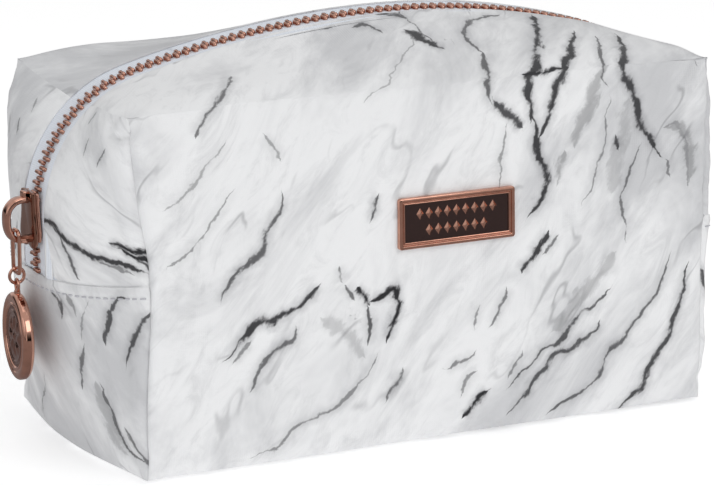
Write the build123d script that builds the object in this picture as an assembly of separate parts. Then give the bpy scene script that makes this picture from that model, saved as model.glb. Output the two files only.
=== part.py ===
from build123d import *

import os
from math import acos, cos, degrees, radians, sin, sqrt

# A soft, boxy, zip-top makeup case. Millimetres, +Z up, origin at the centre of the base.
# The zip runs along X, its closed end is at -X, and the front face is at -Y.

# Driving dimensions of the case
face_length = 190.0  # front face, from corner seam to corner seam
base_depth = 98.4
top_depth = 91.2
corner_height = 108.0  # where the front wall meets the domed top
end_reach = 108.0  # from the middle to the fullest point of a bulging end
end_seam_height = 54.5  # the seam across each end, where the zip starts
shoulder_height = 71.0  # where the straight end turns into the shoulder
shoulder_radius = 43.0
shoulder_turn = 74.0  # degrees that the shoulder turns before the long top arch
base_fold_radius = 13.0
top_fold_radius = 9.0

# Layers of the wall, as depths below the outer surface
outer_thickness = 1.0
tape_thickness = 0.55
lining_depth = 3.4  # the foam lies between the outer fabric and this depth
lining_thickness = 0.6

# Zip
slot_half_width = 7.0  # half the opening between the folded fabric edges
tape_edge = 16.5  # how far each tape reaches under its panel
foam_edge = 17.0
lining_edge = 8.0
tooth_pitch = 3.05
tooth_width = 1.5
tooth_height = 3.0
tooth_root = 3.3  # distance from the zip's centre line to the tape's edge
tooth_tip = 0.5

# Mouth: the middle of the top, cut free on each side of the zip so that it can turn up
lip_half_length = 58.0
lip_line = 38.0  # distance of each hinge line from the middle
lip_gap = 0.3

# Slider and pull
slider_length = 17.0
plate_thickness = 1.3
channel_out = 1.85  # from the chain's middle to the outer plate
channel_in = 2.7  # to the inner plate: deeper, because the shoulder curves away under the slider
flange_thickness = 1.2
bridge_width = 3.5
bridge_height = 7.2
pivot_rise = 3.6  # of the pull's bar above the outer plate
pivot_back = 3.2  # of the pull's bar below the middle of the slider
link_wire = 0.6  # radius
link_half_width = 2.6
link_length = 12.7
link_bend = 1.5
ring_radius = 2.3
ring_wire = 0.5
eye_radius = 1.75
eye_wire = 0.45
hang_gap = 0.2  # play between one hanging wire and the next
medallion_radius = 13.8
medallion_thickness = 4.6
medallion_turn = -12.7  # degrees that the disc is turned on its ring

# Name plate
plate_length = 38.8
plate_height = 15.4
plate_depth = 1.5
plate_border = 1.3
plate_x = 6.7
plate_z = 69.2
stud_spacing = 24.0

# Topstitching on the ends
stitch_pitch = 3.0
stitch_length = 2.2
stitch_wire = 0.5
stitch_drop = 3.2  # below the end seam

# Worked out from the above
shoulder_x = end_reach - shoulder_radius
arch_radius = shoulder_radius + shoulder_x / cos(radians(shoulder_turn))
arch_z = shoulder_height - (arch_radius - shoulder_radius) * sin(radians(shoulder_turn))
peak = arch_z + arch_radius
chain_depth = outer_thickness + tape_thickness / 2
lining_bottom = lining_depth + lining_thickness
big = 400.0

os.makedirs("parts", exist_ok=True)


def save(shape, node):
    """Writes a node as its separate solids and tells how many there are."""
    solids = shape.solids() if hasattr(shape, "solids") else ShapeList(shape)
    export_step(Compound(children=list(solids)), f"parts/{node}.step")
    print(node, len(solids))


def slab(x, y, z):
    """A box from its (low, high) pairs."""
    size = [high - low for low, high in (x, y, z)]
    middle = [(high + low) / 2 for low, high in (x, y, z)]
    return Pos(*middle) * Box(*size)


def side_outline():
    """Seen from the front: straight ends, round shoulders, a long shallow arch on top."""
    turn = radians(shoulder_turn)
    corner = end_reach - base_fold_radius
    slant = sin(radians(45))
    lines = [Line((-corner, 0), (corner, 0))]
    for side in (1, -1):
        fold = (side * (corner + base_fold_radius * slant), base_fold_radius * (1 - slant))
        lines.append(ThreePointArc((side * corner, 0), fold, (side * end_reach, base_fold_radius)))
        lines.append(Line((side * end_reach, base_fold_radius), (side * end_reach, shoulder_height)))
        lines.append(
            ThreePointArc(
                (side * end_reach, shoulder_height),
                *[
                    (
                        side * (shoulder_x + shoulder_radius * cos(angle)),
                        shoulder_height + shoulder_radius * sin(angle),
                    )
                    for angle in (turn / 2, turn)
                ],
            )
        )
    foot = (shoulder_x + shoulder_radius * cos(turn), shoulder_height + shoulder_radius * sin(turn))
    lines.append(ThreePointArc((-foot[0], foot[1]), (0, peak), foot))
    return make_face(lines)


def plan_outline():
    """Seen from above: straight front and back, ends that bulge between the corner seams."""
    x, y = face_length / 2, base_depth / 2
    lines = [Line((-x, side * y), (x, side * y)) for side in (1, -1)]
    lines += [ThreePointArc((side * x, -y), (side * end_reach, 0), (side * x, y)) for side in (1, -1)]
    return make_face(lines)


def cross_outline():
    """Seen from the end: leaning walls, a domed top, rounded folds."""
    foot, shoulder = base_depth / 2, top_depth / 2
    lines = [Line((-foot, 0), (foot, 0))]
    lines += [Line((side * foot, 0), (side * shoulder, corner_height)) for side in (1, -1)]
    lines.append(ThreePointArc((-shoulder, corner_height), (0, peak), (shoulder, corner_height)))
    face = make_face(lines)
    low = face.vertices().sort_by(Axis.Y)[:2]
    face = fillet(low, base_fold_radius)
    high = face.vertices().filter_by(lambda v: abs(v.Y - corner_height) < 1)
    return fillet(high, top_fold_radius)


def loaf(depth):
    """The case's whole outer form, shrunk by a depth."""
    shapes = []
    for plane, outline in ((Plane.XZ, side_outline), (Plane.XY, plan_outline), (Plane.YZ, cross_outline)):
        face = outline()
        if depth:
            face = offset(face, -depth)
        shapes.append(extrude(plane * face, big, both=True))
    return shapes[0] & shapes[1] & shapes[2]


def lip_slab(side, growth):
    """The block that cuts one lip free. side is -1 at the front and 1 at the back."""
    x = lip_half_length + growth
    edge = lip_line + growth
    y = (-edge, 0) if side < 0 else (0, edge)
    return slab((-x, x), y, (corner_height - 20, big))


def panels(layer, name, slot):
    """Cuts a layer into the pieces that it is sewn from, and writes them."""
    opening = slab((-big, big), (-slot, slot), (end_seam_height, big))
    layer = layer - opening
    end_x = face_length / 2 - 1
    for side, end in ((-1, "left"), (1, "right")):
        x = (-big, -end_x) if side < 0 else (end_x, big)
        low_end = slab(x, (-big, big), (-1, end_seam_height))
        pieces[f"{name}_{end}_end"] = layer & low_end
        layer = layer - low_end
    for side, face in ((-1, "front"), (1, "back")):
        y = (-big, 0) if side < 0 else (0, big)
        half = layer & slab((-big, big), y, (-1, big))
        pieces[f"{name}_{face}_lip"] = half & lip_slab(side, -lip_gap / 2)
        pieces[f"{name}_{face}_panel"] = half - lip_slab(side, lip_gap / 2)


def along_zip(travel):
    """Where the chain's middle is after a travel from the left end: x, z and the turn about Y in degrees."""
    turn = radians(shoulder_turn)
    bend = (shoulder_radius - chain_depth) * turn
    arch = (arch_radius - chain_depth) * (radians(90) - turn) * 2
    straight = shoulder_height - end_seam_height
    total = 2 * (straight + bend) + arch
    mirrored = travel > total / 2
    s = total - travel if mirrored else travel
    if s < straight:
        x, z, lean = -end_reach + chain_depth, end_seam_height + s, 90.0
    elif s < straight + bend:
        angle = (s - straight) / (shoulder_radius - chain_depth)
        r = shoulder_radius - chain_depth
        x, z, lean = -shoulder_x - r * cos(angle), shoulder_height + r * sin(angle), 90 - degrees(angle)
    else:
        r = arch_radius - chain_depth
        angle = (total / 2 - s) / r
        x, z, lean = -r * sin(angle), arch_z + r * cos(angle), degrees(angle)
    return (-x, z, lean) if mirrored else (x, z, -lean)


def zip_length():
    turn = radians(shoulder_turn)
    bend = (shoulder_radius - chain_depth) * turn
    arch = (arch_radius - chain_depth) * (radians(90) - turn)
    return 2 * (shoulder_height - end_seam_height + bend + arch)


def tooth(side):
    """One tooth, its length along X, its tip towards the zip's centre line."""
    half = tooth_width / 2
    waist = (tooth_root + tooth_tip) / 2
    points = [
        (-half, tooth_root),
        (-half, waist),
        (-half * 0.6, tooth_tip),
        (half * 0.6, tooth_tip),
        (half, waist),
        (half, tooth_root),
    ]
    outline = make_face(Polyline(*[(x, side * y) for x, y in points], close=True))
    return extrude(outline, tooth_height / 2, both=True)


def teeth(side):
    """Both groups of one row: those in the lip and those that stay with the case."""
    groups = {True: [], False: []}
    length = zip_length()
    count = int(length / tooth_pitch)
    pitch = length / count
    start = 0.75 if side < 0 else 0.25  # the two rows alternate
    one = tooth(side)
    for number in range(count):
        x, z, lean = along_zip((number + start) * pitch)
        groups[abs(x) < lip_half_length].append(Location((x, 0, z), (0, lean, 0)) * one)
    return groups


def slider_frame():
    """The slider's place at rest: X up the end, Z outwards, origin on the chain's middle."""
    return Location((-end_reach + chain_depth, 0, shoulder_height), (0, -90, 0))


def slider_outline(shrink=0.0):
    """A slider plate: a square rear end and two round shoulders, where the rows come apart."""
    half = slider_length / 2
    rear, waist, shoulder = 4.6, 5.0, 6.0
    points = [
        (half, rear),
        (1.0, waist),
        (-3.2, shoulder),
        (-half, 4.2),
        (-half + 1.6, 0),
        (-half, -4.2),
        (-3.2, -shoulder),
        (1.0, -waist),
        (half, -rear),
    ]
    face = make_face(Polyline(*points, close=True))
    face = fillet(face.vertices().filter_by(lambda v: v.X < -3), 1.9)
    return offset(face, -shrink) if shrink else face


def slider_body():
    """Two plates, the flanges that turn in from their sides, and a thin guide post between them."""
    outer_plate = Pos(0, 0, channel_out) * extrude(slider_outline(), plate_thickness)
    inner_plate = Pos(0, 0, -channel_in - plate_thickness) * extrude(slider_outline(), plate_thickness)
    rim = slider_outline() - slider_outline(flange_thickness)
    rim = rim & (Pos(1.2, 0) * Rectangle(slider_length - 2.4 + big, big))
    ends = Rectangle(big, 2 * 3.6)  # the channel is open at both ends
    rim = rim - ends
    tape_top = tape_thickness / 2 + 0.35
    tape_low = tape_thickness / 2 + 1.2
    outer_flange = Pos(0, 0, tape_top) * extrude(rim, channel_out - tape_top)
    inner_flange = Pos(0, 0, -channel_in) * extrude(rim, channel_in - tape_low)
    post = slab((-5.2, -2.6), (-0.2, 0.2), (-channel_in, channel_out))
    return outer_plate + inner_plate + outer_flange + inner_flange + post


def slider_bridge():
    """The arch on the outer plate that the pull hangs in."""
    top = channel_out + plate_thickness
    outer = Polyline((-6.9, 0), (-6.6, 3.6), (-3.6, 7.2), (3.2, 7.2), (6.2, 3.9), (6.9, 0), close=True)
    inner = Polyline((-5.2, -1), (-5.2, 3.1), (-2.9, 5.6), (2.5, 5.6), (4.4, 3.2), (4.7, -1), close=True)
    arch = [fillet(make_face(line).vertices().filter_by(lambda v: v.Y > 1), 1.8) for line in (outer, inner)]
    return Pos(0, 0, top) * extrude(Plane.XZ * (arch[0] - arch[1]), bridge_width / 2, both=True)


def hang():
    """Heights of the hanging pieces' bars, from the pull's pivot down."""
    link_bar = pivot_z - link_length
    ring_top = link_bar + link_wire + ring_wire + hang_gap
    ring_z = ring_top - ring_radius
    ring_bottom = ring_z - ring_radius
    eye_z = ring_bottom + ring_wire + eye_wire + hang_gap - eye_radius
    disc_z = eye_z - eye_radius - medallion_radius
    return link_bar, ring_z, ring_bottom, eye_z, disc_z


def pull_link():
    """A closed wire: two straight sides between the bar in the bridge and the bar in the ring."""
    outline = Plane.YZ * RectangleRounded(2 * link_half_width, link_length, link_bend)
    wire = outline.face().outer_wire()
    profile = Plane(origin=wire @ 0, z_dir=wire % 0) * Circle(link_wire)
    return Pos(pivot_x, 0, pivot_z - link_length / 2) * sweep(profile, path=wire)


def medallion():
    """The disc with its stepped rim and the eye that it hangs from, and the separate face disc."""
    r, t = medallion_radius, medallion_thickness / 2
    rim = r - 2.2
    half = [(0, -t + 0.5), (rim, -t + 0.5), (rim + 0.6, -t), (r - 0.5, -t), (r, -t + 0.5), (r, t - 0.5), (r - 0.5, t),
            (rim + 0.6, t), (rim, t - 1.1), (0, t - 1.1)]
    section = make_face(Polyline(*half, close=True))
    disc = revolve(Plane.XZ * section, Axis.Z)
    disc = Rot(0, -90, 0) * disc
    eye = Pos(0, 0, r + eye_radius) * Rot(0, 90, 0) * Torus(eye_radius, eye_wire)
    stem = slab((-0.7, 0.7), (-0.9, 0.9), (r - 0.6, r + eye_wire))
    face = extrude(Circle(rim - 0.1), 0.7)
    raised = Circle(rim * 0.92) - Circle(rim * 0.84)
    for number in range(8):
        raised = raised + Rot(0, 0, 45 * number) * Pos(rim * 0.48, 0) * Ellipse(rim * 0.28, rim * 0.12)
    face = face + extrude(raised, 1.0)
    face = Rot(0, -90, 0) * (Pos(0, 0, t - 1.1) * face)
    place = Pos(pivot_x, 0, hang()[4]) * Rot(0, 0, medallion_turn)
    return place * (disc + eye + stem), place * face


def plate_place():
    """On the front wall, which leans back as it rises. Local Z points out of the wall."""
    lean = degrees(acos(corner_height / sqrt(corner_height**2 + ((base_depth - top_depth) / 2) ** 2)))
    y = base_depth / 2 - (base_depth - top_depth) / 2 * plate_z / corner_height
    return Location((plate_x, -y, plate_z), (90 - lean, 0, 0))


def name_plate():
    """The frame with its two studs, the inlay in its recess, and the washers behind the wall."""
    frame = extrude(RectangleRounded(plate_length, plate_height, 0.8), plate_depth)
    inner = (plate_length - 2 * plate_border, plate_height - 2 * plate_border)
    recess = Pos(0, 0, plate_depth - 0.9) * extrude(Rectangle(*inner), 1)
    step = Pos(0, 0, plate_depth - 0.3) * extrude(Rectangle(inner[0] + 1.0, inner[1] + 1.0), 1)
    inlay = Pos(0, 0, plate_depth - 0.9) * extrude(Rectangle(inner[0], inner[1]), 0.4)
    studs = [Pos(x, 0, -1.8) * extrude(Circle(0.8), 1.8) for x in (-stud_spacing / 2, stud_spacing / 2)]
    washers = [
        Pos(x, 0, -1.4) * extrude(Circle(4.0) - Circle(0.8), 0.4) for x in (-stud_spacing / 2, stud_spacing / 2)
    ]
    place = plate_place()
    whole = frame - recess - step
    for stud in studs:
        whole = whole + stud
    return place * whole, place * inlay, [place * washer for washer in washers]


def end_stitches(side):
    """A row of stitches round the bulge of one end, below its seam."""
    x, y = face_length / 2, base_depth / 2
    rise = end_reach - x
    radius = (y**2 + rise**2) / (2 * rise)
    reach = degrees(acos((radius - rise) / radius)) - 3
    count = int(2 * radians(reach) * radius / stitch_pitch)
    one = Box(stitch_wire, stitch_length, stitch_wire)
    one = fillet(one.edges().filter_by(Axis.Y), stitch_wire * 0.4)
    row = []
    for number in range(count + 1):
        angle = -reach + 2 * reach * number / count
        centre = Pos(side * (end_reach - radius), 0, end_seam_height - stitch_drop)
        turned = Rot(0, 0, angle if side > 0 else 180 + angle)
        row.append(centre * turned * Pos(radius + 0.05, 0, 0) * one)
    return row


pivot_x = -end_reach + chain_depth - (channel_out + plate_thickness + pivot_rise)
pivot_z = shoulder_height - pivot_back

# The wall: three layers, each cut into the same panels
pieces = {}
outer_form = loaf(0)
foam_form = loaf(outer_thickness)
lining_form = loaf(lining_depth)
hollow_form = loaf(lining_bottom)
panels(outer_form - foam_form, "outer", slot_half_width)
panels(foam_form - lining_form, "foam", foam_edge)
panels(lining_form - hollow_form, "lining", lining_edge)

# The name plate goes through the outer panel, and its washers press into the foam
plate_frame, plate_inlay, plate_washers = name_plate()
for node in ("outer_front_panel", "foam_front_panel"):
    for cutter in [plate_frame, *plate_washers]:
        pieces[node] = pieces[node] - cutter
pieces["name_plate_frame"] = plate_frame
pieces["name_plate_inlay"] = plate_inlay
pieces["name_plate_washers"] = plate_washers

# The zip
tape_form = foam_form - loaf(outer_thickness + tape_thickness)
for side, face in ((-1, "front"), (1, "back")):
    y = sorted((side * tooth_root, side * tape_edge))
    tape = tape_form & slab((-big, big), y, (end_seam_height, big))
    pieces[f"zip_tape_{face}_lip"] = tape & lip_slab(side, -lip_gap / 2)
    pieces[f"zip_tape_{face}"] = tape - lip_slab(side, lip_gap / 2)
    rows = teeth(side)
    pieces[f"zip_teeth_{face}_lip"] = rows[True]
    pieces[f"zip_teeth_{face}"] = rows[False]

# The slider and what hangs from it
pieces["slider_body"] = slider_frame() * slider_body()
pieces["slider_bridge"] = slider_frame() * slider_bridge()
pieces["pull_link"] = pull_link()
pieces["jump_ring"] = Pos(pivot_x, 0, hang()[1]) * Rot(90, 0, 0) * Torus(ring_radius, ring_wire)
pieces["medallion"], pieces["medallion_face"] = medallion()

for side, end in ((-1, "left"), (1, "right")):
    pieces[f"topstitch_{end}_end"] = end_stitches(side)

for node, shape in pieces.items():
    save(shape, node)
print("peak", round(peak, 2), "zip", round(zip_length(), 1))
print("pull pivot", round(pivot_x, 2), round(pivot_z, 2), "bars", [round(v, 2) for v in hang()])
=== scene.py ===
import math

import bmesh
import bpy
import numpy as np
from mathutils import Matrix, Vector


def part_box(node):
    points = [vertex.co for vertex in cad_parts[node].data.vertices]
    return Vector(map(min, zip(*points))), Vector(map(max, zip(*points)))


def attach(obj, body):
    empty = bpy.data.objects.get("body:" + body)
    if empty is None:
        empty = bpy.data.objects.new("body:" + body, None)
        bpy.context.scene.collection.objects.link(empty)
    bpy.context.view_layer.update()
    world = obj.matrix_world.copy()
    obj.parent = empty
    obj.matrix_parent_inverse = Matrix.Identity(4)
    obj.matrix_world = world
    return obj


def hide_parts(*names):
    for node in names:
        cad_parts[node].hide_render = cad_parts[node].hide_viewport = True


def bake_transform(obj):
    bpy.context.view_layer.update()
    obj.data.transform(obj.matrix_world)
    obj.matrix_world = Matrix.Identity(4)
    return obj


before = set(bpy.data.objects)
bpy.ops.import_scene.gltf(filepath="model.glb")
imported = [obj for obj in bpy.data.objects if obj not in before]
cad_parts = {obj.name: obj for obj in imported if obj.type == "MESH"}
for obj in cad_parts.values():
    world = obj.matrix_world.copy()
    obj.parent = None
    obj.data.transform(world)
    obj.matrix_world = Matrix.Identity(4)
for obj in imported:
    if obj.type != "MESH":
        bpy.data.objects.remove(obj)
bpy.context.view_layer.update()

mm = 0.001

# sizes of the case, read from the frame where it holds them
endLow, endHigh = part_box("outer_left_end")
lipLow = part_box("outer_front_lip")[0]
case = {
    "reach": -endLow.x,              # fullest point of the bulging ends
    "seamHeight": endHigh.z,         # the seam across each end
    "hinge": -lipLow.y,              # line where each lip starts to turn
    "faceHalf": 95.0 * mm,           # middle to the corner seams
    "footHalf": 49.2 * mm,           # half the depth at the base
    "rimHalf": 46.2 * mm,            # half the depth at the top fold
    "rimHeight": 110.2 * mm,         # top fold at the corners, before it is rounded
    "rimRise": 0.5 * mm,             # how much higher it is in the middle
    "shoulderHeight": 71.0 * mm,
    "shoulderRadius": 43.0 * mm,
    "shoulderTurn": math.radians(74),
    "slotHalf": 8.4 * mm,            # half the gap between the folded edges
    "belly": 2.2 * mm,               # how far the front and back walls swell
    "archLift": 2.1 * mm,            # how much the top line swells over the right half
    "drawnIn": 2.6 * mm,             # how far the squeezed corner is pulled in
    "seamClimb": 5.0 * mm,           # how much higher the end seams are at the corners
    "cornerLean": 2.8 * mm,          # how much wider the case is at its upper corners
    "bandWidth": 39.2 * mm,          # fabric from the top fold to the zip
    "wall": 4.0 * mm,                # fabric, foam and lining together
    "hingeHeight": 113.1 * mm,       # of the line that each lip turns about
    "lipHalf": 60.6 * mm,            # half the length of the lips
}
grid = {"up": 46, "along": 156, "across": 36, "down": 46, "gap": 5}


def ease(t):
    t = np.clip(t, 0, 1)
    return t * t * (3 - 2 * t)


def bell(d, width):
    return np.exp(-((d / width) ** 2))


def spread(count, crowd=0.45):
    # numbers from 0 to 1, closer together at both ends
    p = np.linspace(0, 1, count + 1)
    return p - crowd * np.sin(2 * math.pi * p) / (2 * math.pi)


def waves(points, seed, length, count=9):
    # smooth, seeded unevenness: a sum of plane waves in all directions, about -1 to 1
    rng = np.random.default_rng(seed)
    total = np.zeros(len(points))
    for n in range(count):
        way = rng.normal(size=3)
        way /= np.linalg.norm(way)
        pace = 2 * math.pi / (length * rng.uniform(0.7, 1.5))
        total += np.sin(points @ way * pace + rng.uniform(0, 2 * math.pi))
    return total / math.sqrt(count)


# the zip's line over the case: straight end, round shoulder, long arch
def zipShape():
    turn, radius = case["shoulderTurn"], case["shoulderRadius"]
    shoulderX = case["reach"] - radius
    archRadius = radius + shoulderX / math.cos(turn)
    archZ = case["shoulderHeight"] - (archRadius - radius) * math.sin(turn)
    return shoulderX, archRadius, archZ


def zipLength(depth):
    shoulderX, archRadius, archZ = zipShape()
    turn = case["shoulderTurn"]
    straight = case["shoulderHeight"] - case["seamHeight"]
    bend = (case["shoulderRadius"] - depth) * turn
    return 2 * (straight + bend + (archRadius - depth) * (math.pi / 2 - turn))


def zipPath(s, depth=0.0):
    # x, z and the outward normal's x, z at travel s from the left end seam, depth below the surface
    shoulderX, archRadius, archZ = zipShape()
    turn, radius = case["shoulderTurn"], case["shoulderRadius"] - depth
    straight = case["shoulderHeight"] - case["seamHeight"]
    total = zipLength(depth)
    far = s > total / 2
    a = np.where(far, total - s, s)
    bend = np.clip((a - straight) / radius, 0, turn)
    top = np.clip((a - straight - radius * turn) / (archRadius - depth), 0, None)
    lean = math.pi / 2 - bend - top  # of the path, above the horizontal
    onArch = a > straight + radius * turn
    x = np.where(onArch, -(archRadius - depth) * np.sin(lean), -shoulderX - radius * np.cos(bend))
    z = np.where(onArch, archZ + (archRadius - depth) * np.cos(lean),
        case["shoulderHeight"] + radius * np.sin(bend))
    z = np.where(a < straight, case["seamHeight"] + a, z)
    side = np.where(far, -1.0, 1.0)
    x = x * side
    z = z + case["archLift"] * ease((x + 50 * mm) / (110 * mm)) * (1 - ease((x - 96 * mm) / (12 * mm)))
    return x, z, -np.sin(lean) * side, np.cos(lean)


# the sharp-edged skin of one half, as grids of points
def halfDepth(z):
    return (case["footHalf"] + (case["rimHalf"] - case["footHalf"])
        * np.clip(z / case["rimHeight"], 0, 1))


def endBulge(y, z):
    # how far an end stands out past the corner seams: full at mid-height, tucked in at the base
    share = 0.42 + 0.58 * ease(z / (44 * mm))
    return (case["reach"] - case["faceHalf"]) * np.clip(1 - (y / halfDepth(z)) ** 2, 0, 1) * share


def rimLine():
    # corner seam up, top fold along, corner seam down: points and fabric coordinates
    rise = case["rimHeight"] - case["seamHeight"]
    up = case["seamHeight"] + rise * spread(grid["up"], 0.3)
    along = case["faceHalf"] * (2 * spread(grid["along"]) - 1)
    x = np.concatenate([np.full(grid["up"], -case["faceHalf"]), along,
        np.full(grid["up"], case["faceHalf"])])
    arch = case["rimHeight"] + case["rimRise"] * (1 - (along / case["faceHalf"]) ** 2)
    z = np.concatenate([up[:-1], arch, up[:-1][::-1]])
    fabric = np.concatenate([-case["faceHalf"] - (case["rimHeight"] - up[:-1]), along,
        case["faceHalf"] + (case["rimHeight"] - up[:-1][::-1])])
    return x, z, fabric


def makePatches():
    patches = {}
    rx, rz, fabric = rimLine()
    s = (fabric - fabric[0]) / (fabric[-1] - fabric[0]) * zipLength(0)
    zx, zz, nx, nz = zipPath(s)
    t = spread(grid["across"], 0.3)
    # strip: from the zip's edge (t = 0) to the rim (t = 1), straight across plus a swell A * t(1 - t)
    T, X0 = np.meshgrid(t, zx)
    Z0, X1, Z1 = zz[:, None], rx[:, None], rz[:, None]
    onEnd = ease((np.abs(nx)[:, None] - 0.5) / 0.45)
    swell = (9.5 * onEnd + 2.0 * (1 - onEnd)) * mm * T * (1 - T)
    x = X0 * (1 - T) + X1 * T + swell * nx[:, None]
    z = Z0 * (1 - T) + Z1 * T + swell * nz[:, None]
    y = -(case["slotHalf"] + (halfDepth(Z1) - case["slotHalf"]) * T)
    fold = np.where(np.abs(fabric) > case["faceHalf"], case["rimHeight"], rz)[:, None]
    # low on the ends the strip meets the lower end's bulge exactly
    meet = case["faceHalf"] + endBulge(y, Z1) - np.abs(x)
    fromSeam = np.minimum(s, zipLength(0) - s)[:, None]
    x = x + np.sign(x) * meet * (1 - ease(fromSeam / (26 * mm)))
    patches["strip"] = (np.stack([x, y, z], -1),
        np.stack([fabric[:, None] + 0 * T, fold + (1 - T) * case["bandWidth"]], -1))
    # hem: the strip's edge rolled under, towards the tape
    foldY = np.array([3.4, 0.6, -0.12, -0.15, 0]) * mm
    foldDepth = np.array([1.0, 0.95, 0.65, 0.2, 0]) * mm
    hx = zx[:, None] - nx[:, None] * foldDepth
    hz = zz[:, None] - nz[:, None] * foldDepth
    hy = -(case["slotHalf"] + foldY) + 0 * hx
    hx[:, -1], hz[:, -1], hy[:, -1] = x[:, 0], z[:, 0], y[:, 0]
    patches["hem"] = (np.stack([hx, hy, hz], -1),
        np.stack([fabric[:, None] + 0 * hx, fold + case["bandWidth"] + foldY], -1))
    # wall: x along, z up
    along = case["faceHalf"] * (2 * spread(grid["along"]) - 1)
    low = case["seamHeight"] * spread(grid["down"], 0.3)
    rise = spread(grid["up"], 0.3)
    rimZ = rz[grid["up"]:grid["up"] + grid["along"] + 1]
    upper = case["seamHeight"] + (rimZ[:, None] - case["seamHeight"]) * rise[None, :]
    Z = np.concatenate([np.repeat(low[None, :-1], len(along), 0), upper], 1)
    X = np.repeat(along[:, None], Z.shape[1], 1)
    patches["wall"] = (np.stack([X, -halfDepth(Z), Z], -1), np.stack([X, Z], -1))
    # lower ends: y across, z up, the y steps of the strip and of the zip's gap
    yStrip = case["slotHalf"] + (halfDepth(case["seamHeight"]) - case["slotHalf"]) * t
    share = (np.concatenate([np.linspace(0, case["slotHalf"], grid["gap"] + 1)[:-1], yStrip])
        / yStrip[-1])
    for side, name in ((-1, "endLeft"), (1, "endRight")):
        Y, Z = np.meshgrid(share, low, indexing="ij")
        Y = -Y * halfDepth(Z)
        X = side * (case["faceHalf"] + endBulge(Y, Z))
        patches[name] = (np.stack([X, Y, Z], -1), np.stack([-side * Y, Z], -1))
    # base: the wall's x steps, the end's y steps
    X, S = np.meshgrid(along, share, indexing="ij")
    Y = -S * case["footHalf"]
    # its ends follow the bulge of the lower ends
    X = X * (1 + endBulge(Y, 0 * Y) / case["faceHalf"])
    patches["base"] = (np.stack([X, Y, 0 * X], -1), np.stack([X, -case["footHalf"] - Y], -1))
    return patches


def facesOf(index):
    return np.stack([index[:-1, :-1], index[1:, :-1], index[1:, 1:], index[:-1, 1:]], -1).reshape(-1, 4)


def joinSkin():
    # both halves on one set of points; each patch keeps its grid of point numbers and its fabric coordinates
    raw, grids, start = [], {}, 0
    for half, flip in (("front", 1), ("back", -1)):
        for name, (points, cloth) in makePatches().items():
            p = points * np.array([1, flip, 1])
            if half == "back" and name.startswith("end"):
                cloth = cloth * np.array([-1, 1])
            count = p.shape[0] * p.shape[1]
            grids[half, name] = [np.arange(start, start + count).reshape(p.shape[:2]), cloth]
            raw.append(p.reshape(-1, 3))
            start += count
    raw = np.concatenate(raw)
    keys = np.round(raw / (0.01 * mm) + 0.137).astype(np.int64)
    _, first, back = np.unique(keys, axis=0, return_index=True, return_inverse=True)
    points = raw[first]
    faces = []
    for key, entry in grids.items():
        entry[0] = back.ravel()[entry[0]]
        f = facesOf(entry[0])
        a, b, c = points[f[:, 0]], points[f[:, 1]], points[f[:, 2]]
        n = np.cross(b - a, c - a)
        turned = (n * (points[f].mean(1) - np.array([0, 0, 55 * mm]))).sum() < 0
        if key[1] == "hem":  # a hem runs on from its strip, so it faces the same way round
            turned = grids[key[0], "strip"][2]
        entry.append(turned)
        faces.append(f[:, ::-1] if turned else f)
    return points, np.concatenate(faces), grids


def edgePairs(faces):
    e = np.concatenate([faces[:, [0, 1]], faces[:, [1, 2]], faces[:, [2, 3]], faces[:, [3, 0]]])
    return np.unique(np.sort(e, 1), axis=0)


def relax(points, edges, weight, rounds, pace=0.5):
    # rounds of moving each point towards its neighbours' mean, near ones counting more
    p = points.copy()
    a, b = edges.T
    for n in range(rounds):
        pull = 1 / np.maximum(np.linalg.norm(p[a] - p[b], axis=1), 0.05 * mm)
        total = np.bincount(a, pull, len(p)) + np.bincount(b, pull, len(p))
        mean = np.stack([np.bincount(a, pull * p[b, k], len(p)) + np.bincount(b, pull * p[a, k], len(p))
            for k in range(3)], 1)
        p += (mean / total[:, None] - p) * (pace * weight)[:, None]
    return p


def normalsOf(points, faces):
    p = points[faces]
    n = np.cross(p[:, 2] - p[:, 0], p[:, 3] - p[:, 1])
    out = np.zeros_like(points)
    for k in range(4):
        for axis in range(3):
            out[:, axis] += np.bincount(faces[:, k], n[:, axis], len(points))
    return out / np.maximum(np.linalg.norm(out, axis=1), 1e-12)[:, None]


def nearLine(points, line):
    # distance of each point to a polyline, the share of the way along it, and the side it is on
    best = np.full(len(points), 1e9)
    along = np.zeros(len(points))
    for n in range(len(line) - 1):
        a, b = np.asarray(line[n], float), np.asarray(line[n + 1], float)
        d = b - a
        t = np.clip(((points - a) @ d) / (d @ d), 0, 1)
        gap = np.linalg.norm(points - a - t[:, None] * d, axis=1)
        near = gap < best
        best = np.where(near, gap, best)
        along = np.where(near, (n + t) / (len(line) - 1), along)
    return best, along


# of the squeezed corner: lines (across, up) and points (along, across, up), seen from the end
creases = {
    "hook": np.array([[35.4, 105.0], [36.8, 102.8], [40.0, 102.0], [43.4, 102.6]]) * mm,
    "pucker": np.array([[31.5, 28], [33, 20], [35, 13.5], [40.4, 7.6], [46.5, 6.6]]) * mm,
    "puckerSwell": np.array([43.5, 17]) * mm,
    "pinch": np.array([93.4, 44.0, 105.6]) * mm,
    "knobs": (  # (point, height, width) in millimetres
        ((88.5, 46, 103), 1.3, 5),
        ((96.5, 41, 106), 0.8, 3.5),
        ((96, 42, 108), 0.9, 3),
        ((93.8, 46.8, 103.5), 1.3, 3.6),
    ),
}


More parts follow.
